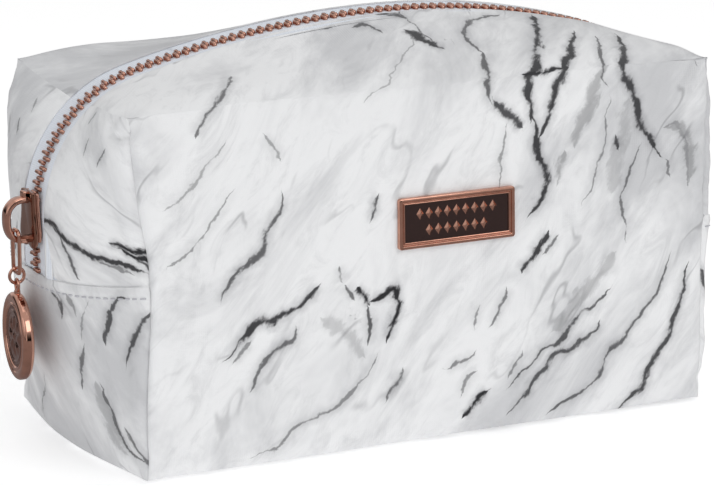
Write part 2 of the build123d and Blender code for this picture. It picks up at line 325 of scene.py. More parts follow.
def shapeSkin():
    points, faces, grids = joinSkin()
    x, y, z = np.abs(points[:, 0]), np.abs(points[:, 1]), points[:, 2]
    depth = halfDepth(z)
    rimZ = case["rimHeight"] + case["rimRise"] * np.clip(1 - (x / case["faceHalf"]) ** 2, 0, 1)
    onTop = np.hypot(y - depth, z - rimZ) + 3 * np.clip(x - case["faceHalf"], 0, None)
    onFoot = np.hypot(y - case["footHalf"], z)
    onEndFoot = np.hypot(x - case["faceHalf"] - endBulge(y, 0 * y), z)
    seamGap = np.hypot(x - case["faceHalf"], y - depth)      # distance from a corner seam
    weight = np.maximum(bell(onTop, 12 * mm), bell(onFoot, 13 * mm))
    weight = np.maximum(weight, bell(onEndFoot, 17 * mm))
    weight = np.maximum(weight, 0.45 * bell(seamGap, 5 * mm))
    weight = np.maximum(weight, 0.12)
    locked = np.zeros(len(points))
    for half in ("front", "back"):
        locked[grids[half, "hem"][0]] = 1
        locked[grids[half, "endLeft"][0][:, -1]] = 1
        locked[grids[half, "endRight"][0][:, -1]] = 1
    points = relax(points, edgePairs(faces), weight * (1 - locked), 170)

    # the soft shape on top of that: swelling walls, creases, seam grooves and puckers
    n = normalsOf(points, faces)
    x, y, z = np.abs(points[:, 0]), np.abs(points[:, 1]), points[:, 2]
    onWall = ease((np.abs(n[:, 1]) - 0.45) / 0.45)
    crown = (np.clip(1 - (x / case["faceHalf"]) ** 4, 0, 1)
        * np.clip(np.sin(math.pi * np.clip(z / case["rimHeight"], 0, 1)), 0, 1) ** 0.7)
    out = case["belly"] * onWall * crown
    low = np.clip(z / (6 * mm), 0, 1)
    nearSeam = np.minimum(seamGap, 40 * mm)
    out += waves(points, 3, 60 * mm) * 0.40 * mm * low
    out += waves(points, 8, 22 * mm) * 0.14 * mm * low * (0.4 + bell(nearSeam, 16 * mm))
    out += waves(points * np.array([1, 1, 2.6]), 12, 13 * mm) * 0.10 * mm * bell(nearSeam, 9 * mm) * low
    # the corner that has been squeezed most
    handled = np.where((points[:, 0] < 0) & (points[:, 1] < 0), 1.0, 0.0)
    seamTop = 1 - ease((z - (92 + 12 * handled) * mm) / (12 * mm - 8 * mm * handled))
    # where the seam is a broad fold instead of a groove
    soft = handled * ease((z - 60 * mm) / (14 * mm))
    out += ((0.55 * bell(seamGap - 3.2 * mm, 2.4 * mm) - 1.15 * bell(seamGap, 1.0 * mm)) * mm * seamTop
        * low * (1 - soft))
    out += (0.6 * bell(seamGap - 5 * mm, 3 * mm) - 1.9 * bell(seamGap, 2.2 * mm)) * mm * seamTop * soft
    seamLine = np.abs(z - case["seamHeight"] + 0.0004)
    onEnd = ease((x - 96 * mm) / (1.5 * mm))
    out += ((0.35 * bell(z - case["seamHeight"] + 1.4 * mm, 1.2 * mm)
        - 0.75 * bell(seamLine, 0.75 * mm)) * mm * onEnd)
    q = np.stack([x, y, z], 1)
    for point, height, width in creases["knobs"]:
        gap = np.linalg.norm(q - np.array(point) * mm, axis=1)
        out += height * mm * bell(gap, width * mm) * handled
    inward = bell(np.linalg.norm(q - creases["pinch"], axis=1), 2.8 * mm) * handled
    flat, onFace = q[:, 1:], ease((x - 86 * mm) / (5 * mm))  # across and up, on the end's face
    hook, _ = nearLine(flat, creases["hook"])
    out += -1.7 * mm * bell(hook, 1.2 * mm) * handled * onFace
    pucker, along = nearLine(flat, creases["pucker"])
    inCorner = bell(np.linalg.norm(q - np.array([95, 47, 3]) * mm, axis=1), 9 * mm)
    out += -2.0 * mm * bell(pucker, 2.4 * mm) * (0.35 + along) * (1 - inCorner) * onFace
    swell = np.linalg.norm(flat - creases["puckerSwell"], axis=1)
    out += 1.0 * mm * bell(swell, 6 * mm) * low * onFace
    for half in ("front", "back"):
        out[grids[half, "hem"][0]] *= 0
    points = points + n * out[:, None]
    way = np.stack([-0.62 * np.sign(points[:, 0]), -0.55 * np.sign(points[:, 1]),
        np.full(len(points), -0.5)], 1)
    points += way * (2.2 * mm * inward)[:, None]
    # the upper corners lean outwards
    lean = (ease((points[:, 2] - 45 * mm) / (65 * mm))
        * ease((np.abs(points[:, 1]) - 10 * mm) / (28 * mm))
        * ease((np.abs(points[:, 0]) - 62 * mm) / (30 * mm)))
    lean *= 1 - 0.7 * ease((points[:, 2] - 97 * mm) / (12 * mm)) * (points[:, 1] > 0)
    points[:, 0] += np.sign(points[:, 0]) * case["cornerLean"] * lean
    # the squeezed corner is drawn in at the height of the end's seam
    drawn = (ease((np.abs(points[:, 1]) - 6 * mm) / (36 * mm))
        * ease((np.abs(points[:, 0]) - 60 * mm) / (32 * mm)))
    drawn *= (points[:, 0] < 0) & (points[:, 1] < 0)
    points[:, 0] += (drawn * (0.8 * mm + case["drawnIn"] * bell(points[:, 2] - 54 * mm, 24 * mm))
        * ease((112 * mm - points[:, 2]) / (30 * mm)))
    # each end's seam climbs towards the corners
    climb = ((points[:, 1] / (47 * mm)) ** 2 * bell(points[:, 2] - case["seamHeight"], 22 * mm)
        * ease((np.abs(points[:, 0]) - 70 * mm) / (24 * mm)))
    points[:, 2] += case["seamClimb"] * climb
    # the back corner on the right has slumped
    slump = (points[:, 0] > 0) * (points[:, 1] > 0) * ease((points[:, 0] - 40 * mm) / (30 * mm))
    slump = (slump * ease((points[:, 2] - 88 * mm) / (18 * mm))
        * ease((points[:, 1] - 14 * mm) / (22 * mm)))
    points[:, 2] -= 2.4 * mm * slump
    # the back's top fold stands up a little near the left corner
    proud = (bell(points[:, 0] + 72 * mm, 22 * mm) * ease((points[:, 1] - 20 * mm) / (22 * mm))
        * ease((points[:, 2] - 90 * mm) / (15 * mm)))
    points[:, 2] += 2.2 * mm * proud
    points[:, 2] = np.maximum(points[:, 2], 0)

    # the line that each lip turns about stays level
    strip = grids["front", "strip"][0]
    row = int(np.argmin(np.abs(np.abs(points[strip[strip.shape[0] // 2], 1]) - case["hinge"])))
    level = case["hingeHeight"]
    for half in ("front", "back"):
        line = points[grids[half, "strip"][0][:, row]]
        order = np.argsort(line[:, 0])
        now = np.interp(points[:, 0], line[order, 0], line[order, 2])
        mine = (points[:, 1] < 0) if half == "front" else (points[:, 1] > 0)
        near = (bell(np.abs(points[:, 1]) - case["hinge"], 9 * mm)
            * (1 - ease((np.abs(points[:, 0]) - 60 * mm) / (14 * mm))))
        points[:, 2] += np.where(mine & (points[:, 2] > 90 * mm), (level - now) * near, 0)
    # the lining's own surface, rounder in the corners so that it keeps inside the foam
    free = np.ones(len(points))
    for half in ("front", "back"):
        free[grids[half, "hem"][0]] = 0
    inner = relax(points, edgePairs(faces), free, 90)
    return (points, normalsOf(points, faces)), (inner, normalsOf(inner, faces)), grids, row


# the printed veins: strokes in millimetres on the cloth, (half width, darkness, points)
frontStrokes = [
    (0.5, 0.55, [(-89, 60), (-75, 73), (-65, 86)]),
    (1.3, 0.75, [(-75, 101), (-72, 106), (-68, 112), (-61, 122), (-57, 127)]),
    (0.8, 0.45, [(-87, 80), (-79, 86), (-70, 95), (-67, 99)]),
    (1.3, 0.80, [(-72, 52), (-70, 56), (-62, 63), (-57, 66), (-55, 72), (-51, 78), (-50, 83)]),
    (1.7, 0.95, [(-71, 35), (-63, 41), (-59, 45), (-53, 45), (-47, 48), (-42, 51), (-38, 54)]),
    (1.0, 0.60, [(-67, 34), (-61, 39.5)]),
    (1.2, 0.75, [(-61, 24), (-59, 29), (-55, 36), (-50, 38), (-47, 39), (-46, 43)]),
    (0.9, 0.70, [(-32, 59), (-31, 54)]),
    (0.9, 0.75, [(-30, 53), (-27.5, 48)]),
    (2.6, 1.0, [(-26, 52), (-24, 49), (-22, 46)]),
    (1.9, 1.0, [(-22, 47), (-18, 48), (-14, 49.5), (-12.6, 45), (-15, 39), (-16.5, 34)]),
    (1.0, 0.85, [(-22.6, 46), (-22, 40), (-23, 34)]),
    (1.1, 0.85, [(-22, 71), (-20, 76), (-18.6, 79)]),
    (0.5, 0.40, [(-22, 106), (-11, 116), (5, 133)]),
    (3.4, 0.95, [(5, 138.5), (6.5, 135), (8, 131.5)]),
    (1.8, 0.95, [(6, 135), (9, 130.5), (12, 126)]),
    (1.2, 0.80, [(-10, 144), (-5, 143.5), (-3, 138)]),
    (1.4, 0.80, [(0, 150), (5, 149), (9, 144)]),
    (0.6, 0.70, [(10.5, 128), (9.4, 139), (8.7, 152)]),
    (0.9, 0.60, [(-20, 146), (-15, 147)]),
    (0.9, 0.55, [(20, 150), (27, 151), (34, 149)]),
    (1.2, 0.75, [(42, 146), (33, 143), (26, 138), (22, 131), (24, 123)]),
    (1.3, 0.80, [(24, 124), (21, 114), (18.5, 107), (20, 102)]),
    (2.2, 0.90, [(20, 104), (25.6, 98), (30, 94)]),
    (0.7, 0.55, [(24.6, 96), (22.5, 86), (22, 77)]),
    (2.2, 0.95, [(54, 148), (50, 138), (44, 126), (37, 114), (33, 108), (33, 100), (32, 95)]),
    (2.8, 1.0, [(32, 111.5), (38, 110.5), (46, 112.5)]),
    (1.6, 0.95, [(32, 99), (34.5, 93), (35, 86), (37, 81), (38, 77), (36.5, 73), (34, 70.6), (31, 66)]),
    (2.0, 0.95, [(62, 134), (55, 124), (48, 114), (44, 107), (41, 101.5), (38.6, 97), (36, 90)]),
    (0.8, 0.75, [(67, 130), (62, 119), (59, 108), (60, 103)]),
    (3.6, 0.34, [(61, 111), (56, 103), (51, 94), (47, 86)]),
    (2.6, 0.38, [(44, 85), (41, 76)]),
    (4.2, 0.20, [(67, 99), (63, 84), (60, 70)]),
    (3.0, 0.34, [(79, 89), (85, 87), (88, 78), (88, 68)]),
    (3.4, 0.22, [(-38, 44), (-30, 38), (-24, 30)]),
    (3.8, 0.24, [(62, 52), (54, 44), (46, 36), (40, 30)]),
    (1.8, 0.92, [(76, 134), (72, 124), (68, 115), (66, 108), (68.6, 100), (71, 90), (74, 85),
        (78, 79)]),
    (0.7, 0.70, [(71, 86), (69, 81), (66, 74.5), (63.5, 69), (65, 62), (65.5, 54.5)]),
    (0.7, 0.60, [(60, 100.5), (58, 87), (56, 80), (53.6, 74), (49.5, 68)]),
    (1.6, 0.90, [(62, 88), (63, 84)]),
    (1.2, 0.45, [(78, 89), (83, 89), (87, 77), (87.4, 66)]),
    (0.6, 0.60, [(79.5, 78), (81, 72)]),
    (1.1, 0.80, [(82, 48), (79, 41), (74, 35), (67, 27), (61, 22), (58, 17.5), (53.6, 11.5), (45, 7),
        (38, 3)]),
    (1.6, 0.90, [(88, 43), (86, 36), (84, 30), (82, 24.5), (77.5, 19), (75, 14), (72, 8), (67, 4),
        (62, -2)]),
    (1.1, 0.85, [(60, 42), (55, 37), (50, 35), (45, 31), (42, 26.5), (36.5, 24.6), (30, 19),
        (23.5, 13)]),
    (1.3, 0.85, [(56, 32), (53.6, 28), (48, 25), (40, 22), (35, 17), (30, 10), (24.6, 5)]),
    (1.7, 0.95, [(38, 61.5), (35, 58), (31, 53), (29, 50)]),
    (0.9, 0.70, [(41.6, 60), (36, 55)]),
    (0.9, 0.70, [(23.5, 45.6), (23, 42), (21, 38), (18, 34)]),
    (0.7, 0.60, [(14, 41), (13, 34.6)]),
    (0.9, 0.65, [(3.4, 23), (7.5, 24), (13, 27)]),
    (0.8, 0.60, [(14, 21), (11, 19), (8, 14)]),
    (2.0, 1.0, [(18, 14), (14, 11.6), (10, 7)]),
    (0.8, 0.60, [(30, 25), (27, 21), (24.6, 17)]),
    (0.9, 0.60, [(-61, 4), (-53, 6), (-46, 12), (-41, 14), (-33, 16), (-27, 21), (-22, 26), (-19, 31)]),
    (1.1, 0.70, [(-17, 16), (-14, 20), (-11, 25)]),
    (0.8, 0.50, [(-55, 100), (-50, 92)]),
]
leftQuarterStrokes = [  # the left end above its seam, as (height, distance from the middle)
    (1.5, 0.95, [(75, 4), (73, 6), (71.2, 12.6), (67.6, 18.4), (64.2, 26.2), (62.7, 32.4), (60.0, 41.6),
        (58.0, 47.5)]),
    (2.0, 1.0, [(69.2, 35), (66.8, 41), (64.2, 49)]),
    (1.4, 1.0, [(67.0, 38), (63.0, 44.5), (60.6, 49)]),
    (1.1, 0.85, [(62.6, 44), (58.0, 48), (55.4, 49.5)]),
    (1.0, 0.80, [(70.5, 14.8), (64.9, 16.7), (59.5, 19.6), (56, 22)]),
    (0.8, 0.60, [(62.0, 30), (59.5, 37), (58.0, 42)]),
    (0.8, 0.60, [(99, 24.4), (94, 24.6)]),
    (0.8, 0.65, [(98, 35), (92, 33)]),
    (0.7, 0.45, [(108, 20), (103, 19)]),
]
leftFlapStrokes = [  # the left end below its seam, as (distance from the middle, height)
    (1.3, 0.80, [(-10.6, 51.5), (-15.1, 48.0), (-15.0, 43.5)]),
    (1.0, 0.85, [(-41.5, 51.5), (-36.1, 49.8), (-33.3, 42), (-32.7, 38)]),
    (1.1, 0.85, [(-47.8, 47.5), (-43.1, 40.3), (-41.2, 33)]),
    (1.0, 0.70, [(-24.6, 37), (-22.2, 29), (-21.1, 23)]),
    (0.7, 0.50, [(3, 22), (8, 14), (16, 4)]),
    (0.6, 0.45, [(-27, 50), (-24.6, 44), (-23.8, 38)]),
    (1.0, 0.70, [(-40, 16), (-44, 11), (-48.9, 5)]),
    (0.9, 0.75, [(-30, 27), (-32.5, 19), (-35, 13), (-40.5, 7.8), (-47.5, 6.5)]),
    (4.2, 0.30, [(-28, 27), (-31, 18), (-34, 11), (-39, 7)]),
    (0.9, 0.50, [(-18, 51), (-22, 45)]),
]


def turned(strokes, turn=0.0, move=(0, 0), flip=1):
    c, s = math.cos(math.radians(turn)), math.sin(math.radians(turn))
    return [(w, dark, [(flip * (c * a - s * b) + move[0], s * a + c * b + move[1]) for a, b in line])
        for w, dark, line in strokes]


def smoothLine(points, steps=5):
    # Catmull-Rom through the points, as one array
    p = np.array([points[0], *points, points[-1]], float)
    t = np.linspace(0, 1, steps, endpoint=False)[:, None]
    out = []
    for a, b, c, d in zip(p[:-3], p[1:-2], p[2:-1], p[3:]):
        out.append(0.5 * (2 * b + (c - a) * t + (2 * a - 5 * b + 4 * c - d) * t * t
            + (3 * b - a - 3 * c + d) * t ** 3))
    return np.concatenate(out + [p[-1:]])


layerCount = 8


def inkLayers(strokes):
    # shares the strokes out so that those in one layer keep well apart
    layers = [[] for _ in range(layerCount)]
    for stroke in sorted(strokes, key=lambda each: -each[0] * len(each[2])):
        line = smoothLine(stroke[2])
        room = [min([np.linalg.norm(line[:, None] - other[None], axis=2).min() for _, _, other in layer]
            or [99]) for layer in layers]
        fits = [n for n, gap in enumerate(room) if gap > 10.5]
        layers[fits[0] if fits else int(np.argmax(room))].append((stroke[0], stroke[1], line))
    return layers


def inkValues(layer, cloth):
    # for points on the cloth: signed distance to the nearest stroke, its half width there, its darkness
    p = cloth.reshape(-1, 2) / mm
    best = np.full(len(p), 60.0)
    width, dark = np.zeros(len(p)), np.zeros(len(p))
    for halfWidth, strength, line in layer:
        for n in range(len(line) - 1):
            a, d = line[n], line[n + 1] - line[n]
            t = np.clip(((p - a) @ d) / (d @ d), 0, 1)
            gap = p - a - t[:, None] * d
            far = (np.hypot(gap[:, 0], gap[:, 1])
                * np.where(d[0] * gap[:, 1] - d[1] * gap[:, 0] < 0, -1, 1))
            near = np.abs(far) < np.abs(best)
            along = (n + t) / (len(line) - 1)
            taper = 0.18 + 0.82 * np.sin(math.pi * np.clip(along, 0.0, 1.0)) ** 0.7
            taper *= np.clip(along * 14, 0, 1) * np.clip((1 - along) * 14, 0, 1)
            best = np.where(near, far, best)
            width = np.where(near, halfWidth * taper, width)
            dark = np.where(near, strength, dark)
    width *= 1 - ease((np.abs(best) - 3.4) / 1.6)
    return (np.stack([best * mm, width * mm, dark], 1)).reshape(*cloth.shape[:2], 3)


def newMesh(name, points, faces, smooth=True):
    mesh = bpy.data.meshes.new(name)
    mesh.from_pydata(points.tolist(), [],
        [list(map(int, f)) for f in faces] if not isinstance(faces, np.ndarray) else faces.tolist())
    mesh.polygons.foreach_set("use_smooth", [smooth] * len(mesh.polygons))
    mesh.update()
    piece = bpy.data.objects.new(name, mesh)
    bpy.context.collection.objects.link(piece)
    return piece


# where each sheet was cut from the printed cloth
printShift = {
    "frontSheet": np.array([0, 0]),
    "backSheet": np.array([0.31, 0.17]),
    "leftQuarter": np.array([-0.22, 0.33]),
    "rightQuarter": np.array([0.12, 0.45]),
    "backQuarter": np.array([0.52, -0.3]),
    "leftFlap": np.array([0.14, 0.42]),
    "rightFlap": np.array([-0.4, -0.2]),
}


def clothPiece(name, parts, points, normals, ink=None, offset=0.0):
    # parts: (point numbers, cloth coordinates, turned). Corners carry the print, points the shared normals
    faces, cloth, layers = [], [], [[] for _ in range(layerCount)]
    for index, uv, isTurned, *strokes in parts:
        corner = np.arange(index.size).reshape(index.shape)
        f = facesOf(corner)
        if isTurned != (offset < 0):
            f = f[:, ::-1]
        faces.append(index.ravel()[f])
        cloth.append(uv.reshape(-1, 2)[f].reshape(-1, 2) + (printShift[strokes[0]] if ink else 0))
        if ink:
            for n, layer in enumerate(ink[strokes[0]]):
                layers[n].append(inkValues(layer, uv).reshape(-1, 3)[f].reshape(-1, 3))
    faces = np.concatenate(faces)
    used, back = np.unique(faces, return_inverse=True)
    where = points[used] + offset * normals[used]
    piece = newMesh(name, where, back.reshape(faces.shape))
    mesh = piece.data
    mesh.uv_layers.new(name="cloth").uv.foreach_set("vector", np.concatenate(cloth).ravel())
    if ink:
        for n, values in enumerate(layers):
            attribute = mesh.attributes.new(f"ink{n}", "FLOAT_VECTOR", "CORNER")
            attribute.data.foreach_set("vector", np.concatenate(values).ravel())
    mesh.normals_split_custom_set_from_vertices((normals[used] * (-1 if offset < 0 else 1)).tolist())
    return piece


print("shaping the case")
(skin, skinNormals), innerSkin, skinGrids, hingeRow = shapeSkin()
allStrokes = {
    "frontSheet": frontStrokes,
    "leftQuarter": [(w, d, [(z - 205.2, 156.4 - y) for z, y in line])
        for w, d, line in leftQuarterStrokes],
    "leftFlap": leftFlapStrokes,
    "backSheet": turned(frontStrokes, 180, (4, 118)),
    "rightQuarter": [(w, d, [(205.2 - z, 156.4 - y) for z, y in line])
        for w, d, line in leftQuarterStrokes[4:]],
    "rightFlap": turned(leftFlapStrokes, 12, (3, -2), -1),
}
allStrokes["backQuarter"] = [(w, d, [(-a - 4, b) for a, b in line])
    for w, d, line in allStrokes["rightQuarter"]]
ink = {name: inkLayers(strokes) for name, strokes in allStrokes.items()}


def cut(half, name, columns=slice(None), rows=slice(None), sheet="frontSheet"):
    index, cloth, isTurned = skinGrids[half, name]
    return (index[columns, rows], cloth[columns, rows], isTurned, sheet)


def stripParts(half, sheets):
    # the strip and its hem, divided at the corners, at the lips' ends and at the lips' turning line
    index = skinGrids[half, "strip"][0]
    x = skin[index][..., 0]
    middle = index.shape[0] // 2
    last = index.shape[0] - 1
    corner = grid["up"] - 1
    lipEnd = int(np.where(np.abs(x).min(1)[:middle] > case["lipHalf"])[0][-1])
    spans = {
        "leftEnd": (0, corner),
        "left": (corner, lipEnd),
        "lipLeft": (lipEnd, middle),
        "lipRight": (middle, last - lipEnd),
        "right": (last - lipEnd, last - corner),
        "rightEnd": (last - corner, last),
    }
    fixed, lips = [], {"lipLeft": [], "lipRight": []}
    for name, (a, b) in spans.items():
        columns = slice(a, b + 1)
        sheet = sheets[0] if name == "leftEnd" else sheets[2] if name == "rightEnd" else sheets[1]
        if name in lips:
            lips[name] += [cut(half, "strip", columns, slice(0, hingeRow + 1), sheet),
                cut(half, "hem", columns, sheet=sheet)]
            fixed.append(cut(half, "strip", columns, slice(hingeRow, None), sheet))
        else:
            fixed += [cut(half, "strip", columns, sheet=sheet), cut(half, "hem", columns, sheet=sheet)]
    return fixed, lips


fold = {"lift": 0.6 * mm, "fade": 15 * mm, "corner": 3 * mm}


def foldEnds():
    # each end's upper edge is folded under: its points stand out along their normals by lift, fading
    # downwards over fade, and one more row turns in from there to the seam
    points, normals, grids = [skin.copy()], [skinNormals.copy()], {}
    count = len(skin)
    for half in ("front", "back"):
        for name in ("endLeft", "endRight"):
            index, cloth, isTurned = skinGrids[half, name]
            below = skin[index[:, -1:], 2] - skin[index, 2]
            y = np.abs(skin[index, 1])
            lift = (fold["lift"] * (1 - ease(below / fold["fade"]))
                * ease((y.max() - y) / fold["corner"]))
            points[0][index[:, :-1]] = (skin[index] + lift[..., None] * skinNormals[index])[:, :-1]
            edge = index[:, -1]
            points.append(skin[edge] + lift[:, -1:] * skinNormals[edge] - [0, 0, 0.1 * mm])
            normals.append(skinNormals[edge])
            normals[0][edge] = 0.25 * skinNormals[edge] + [0, 0, 0.97]
            row = count + np.arange(len(edge))
            count += len(edge)
            grids[half, name] = (np.c_[index[:, :-1], row, edge],
                np.concatenate([cloth, cloth[:, -1:]], 1), isTurned)
    return np.concatenate(points), np.concatenate(normals), grids


foldSkin, foldNormals, foldGrids = foldEnds()
outerPieces, liningPieces = [], []
sheetsOf = {"front": ("leftQuarter", "frontSheet", "rightQuarter"),
    "back": ("backQuarter", "backSheet", "backQuarter")}


def rideOrBlend(piece):
    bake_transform(piece)


def makeShell():
    lining = []
    for half in ("front", "back"):
        fixed, lips = stripParts(half, sheetsOf[half])
        main = sheetsOf[half][1]
        parts = fixed + [cut(half, "wall", sheet=main), cut(half, "base", sheet=main)]
        piece = clothPiece(f"{half}_panel", parts, skin, skinNormals, ink)
        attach(piece, "case")
        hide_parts(f"outer_{half}_panel", f"foam_{half}_panel")
        outerPieces.append(piece)
        lining += [part[:3] for part in parts if part[0].shape[1] > 5]
        for which, parts in lips.items():
            piece = clothPiece(f"{half}_{which}", parts, skin, skinNormals, ink)
            rideOrBlend(piece)
            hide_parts(f"outer_{half}_lip", f"foam_{half}_lip")
            outerPieces.append(piece)
            inner = clothPiece(f"lining_{half}_{which}", [part[:3] for part in parts[:1]], *innerSkin,
                offset=-case["wall"])
            rideOrBlend(inner)
            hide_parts(f"lining_{half}_lip")
            liningPieces.append(inner)
    for side in ("Left", "Right"):
        sheet = "leftFlap" if side == "Left" else "rightFlap"
        parts = [(*foldGrids[half, f"end{side}"], sheet) for half in ("front", "back")]
        piece = clothPiece(f"{side.lower()}_end", parts, foldSkin, foldNormals, ink)
        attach(piece, "case")
        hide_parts(f"outer_{side.lower()}_end", f"foam_{side.lower()}_end")
        outerPieces.append(piece)
        lining += [cut(half, f"end{side}")[:3] for half in ("front", "back")]
    piece = clothPiece("lining", lining, *innerSkin, offset=-case["wall"])
    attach(piece, "case")
    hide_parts(*[f"lining_{name}"
        for name in ("front_panel", "back_panel", "left_end", "right_end")])
    liningPieces.append(piece)


makeShell()
print("shell", len(outerPieces), "outer and", len(liningPieces), "lining pieces")


zipper = {
    "tapeDepth": 1.0 * mm,
    "tapeThickness": 0.55 * mm,
    "tapeInner": 0.2 * mm,
    "tapeOuter": 13.5 * mm,
    "tapeSink": 0.5,                 # how steeply the tape's outer edge drops away under the cloth
    "chainDepth": 0.9 * mm,
    "teeth": 97,
    "hemStart": 9.6 * mm,            # where the tape goes under the folded edge
}


def along(s, y, depth):
    # points at travel s, distance y from the middle and depth below the outer surface
    x, z, nx, nz = zipPath(s)
    return np.stack([x - nx * depth, y + 0 * x, z - nz * depth], -1)


def tape(name, spans, flip):
    # a closed band: its rounded section (y, depth) carried along the zip's path
    a, b, d, h = zipper["tapeInner"], zipper["tapeOuter"], zipper["tapeDepth"], zipper["tapeThickness"]
    section = np.array([(a, d), (2.4 * mm, d), (3.2 * mm, d - 0.12 * mm), (4.2 * mm, d),
        (7 * mm, d - 0.3 * mm), (zipper["hemStart"], d - 0.6 * mm), (b, d - 0.5 * mm)])
    section = np.concatenate([section, section[::-1] + [0, h]])
    section[:, 1] += zipper["tapeSink"] * np.clip(section[:, 0] - zipper["hemStart"], 0, None)
    points, faces, cloth = [], [], []
    for low, high in spans:
        s = np.linspace(low, high, max(8, int((high - low) / (1.6 * mm))))
        S, Y = np.meshgrid(s, section[:, 0], indexing="ij")
        D = np.repeat(section[None, :, 1], len(s), 0)
        p = along(S.ravel(), flip * Y.ravel(), D.ravel())
        index = np.arange(p.shape[0]).reshape(S.shape) + sum(len(q) for q in points)
        index = np.concatenate([index, index[:, :1]], 1)
        f = facesOf(index)
        points.append(p)
        faces.append(f if flip < 0 else f[:, ::-1])
        ends = [index[0, :-1], index[-1, :-1][::-1]]
        faces.extend([np.array([e if flip < 0 else e[::-1]]) for e in ends])
        cloth.append(np.stack([S.ravel(), flip * Y.ravel()], 1))
    flat = [list(map(int, row)) for block in faces for row in block]
    piece = newMesh(name, np.concatenate(points), flat)
    where = np.concatenate(cloth)
    loops = np.empty(len(piece.data.loops), int)
    piece.data.loops.foreach_get("vertex_index", loops)
    piece.data.uv_layers.new(name="cloth").uv.foreach_set("vector", where[loops].ravel())
    fixNormals(piece)
    return piece


def fixNormals(piece):
    shape = bmesh.new()
    shape.from_mesh(piece.data)
    bmesh.ops.recalc_face_normals(shape, faces=shape.faces)
    shape.to_mesh(piece.data)
    shape.free()


def teethRow(name, numbers, flip):
    # one tooth: eight-sided sections lofted across the chain, given as
    # (distance from the middle, half length, half height)
    stations = (np.array([(3.0, 0.38, 0.55), (2.6, 0.62, 1.15), (1.5, 0.60, 1.25), (0.8, 0.50, 1.05),
        (0.25, 0.62, 1.2), (-0.3, 0.62, 1.15), (-0.6, 0.30, 0.6)]) * mm)
    sides = 8
    angle = (np.arange(sides) + 0.5) * 2 * math.pi / sides
    across = np.sign(np.cos(angle)) * np.abs(np.cos(angle)) ** 0.7
    upward = np.sign(np.sin(angle)) * np.abs(np.sin(angle)) ** 0.7
    pitch = zipLength(0) / zipper["teeth"]
    s = (numbers + (0.25 if flip < 0 else 0.75)) * pitch
    x, z, nx, nz = zipPath(s)
    S = stations[None, :, 1, None] * across[None, None] + 0 * s[:, None, None]
    D = stations[None, :, 2, None] * upward[None, None] + 0 * s[:, None, None] - zipper["chainDepth"]
    Y = flip * stations[None, :, 0, None] + 0 * S
    tx, tz = nz[:, None, None], -nx[:, None, None]
    px = x[:, None, None] + tx * S + nx[:, None, None] * D
    pz = z[:, None, None] + tz * S + nz[:, None, None] * D
    points = np.stack([px, Y, pz], -1).reshape(-1, 3)
    ring = np.arange(len(stations) * sides).reshape(-1, sides)
    ring = np.concatenate([ring, ring[:, :1]], 1)
    one = facesOf(ring)
    count = len(stations) * sides
    faces = [[int(v) + count * n for v in f] for n in range(len(numbers)) for f in one]
    caps = [ring[0, :-1][::-1], ring[-1, :-1]]
    faces += [[int(v) + count * n for v in cap] for n in range(len(numbers)) for cap in caps]
    piece = newMesh(name, points, faces)
    fixNormals(piece)
    return piece


tapePieces, teethPieces = [], []


def makeZip():
    total = zipLength(0)
    travel = np.linspace(0, total, 4000)
    x = zipPath(travel)[0]
    lipStart = travel[np.argmax(x > -case["lipHalf"])]
    pitch = total / zipper["teeth"]
    numbers = np.arange(zipper["teeth"])
    centres = (numbers + 0.5) * pitch
    for half, flip in (("front", -1), ("back", 1)):
        spans = {"": [(0, lipStart), (total - lipStart, total)], "lipLeft": [(lipStart, total / 2)],
            "lipRight": [(total / 2, total - lipStart)]}
        for which, cuts in spans.items():
            mine = np.concatenate([numbers[(centres >= a) & (centres < b)] for a, b in cuts])
            suffix = f"_{which}" if which else ""
            cloth = tape(f"tape_{half}{suffix}", cuts, flip)
            row = teethRow(f"teeth_{half}{suffix}", mine, flip)
            for piece, node in ((cloth, f"zip_tape_{half}"), (row, f"zip_teeth_{half}")):
                if which:
                    rideOrBlend(piece)
                    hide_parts(node + "_lip")
                else:
                    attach(piece, "case")
                    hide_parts(node)
            tapePieces.append(cloth)
            teethPieces.append(row)


makeZip()
print("zip", len(tapePieces), "tapes", len(teethPieces), "rows of teeth")


def lathe(name, profile, place, around=144):
    # profile (radius, height) turned about local Z, then placed
    r, h = smoothLine(profile, 4).T
    angle = np.linspace(0, 2 * math.pi, around, endpoint=False)
    R, A = np.meshgrid(r, angle, indexing="ij")
    H = np.repeat(h[:, None], around, 1)
    X, Y = R * np.cos(A), R * np.sin(A)
    points = np.stack([X, Y, H], -1).reshape(-1, 3) * mm
    index = np.arange(R.size).reshape(R.shape)
    index = np.concatenate([index, index[:, :1]], 1)
    piece = newMesh(name, points, facesOf(index))
    fixPoles(piece)
    piece.data.transform(place)
    return piece


def fixPoles(piece):
    shape = bmesh.new()
    shape.from_mesh(piece.data)
    bmesh.ops.remove_doubles(shape, verts=shape.verts, dist=0.004 * mm)
    bmesh.ops.recalc_face_normals(shape, faces=shape.faces)
    shape.to_mesh(piece.data)
    shape.free()
    piece.data.polygons.foreach_set("use_smooth", [True] * len(piece.data.polygons))


medallion = {"turn": -6.5, "radius": 13.1, "eyeUp": 15.55, "field": 9.1, "halfThickness": 1.75,
    "petals": 8}
medLow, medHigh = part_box("medallion")
faceLow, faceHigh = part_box("medallion_face")
medCentre = Vector(((medLow.x + medHigh.x) / 2, 0, (faceLow.z + faceHigh.z) / 2))


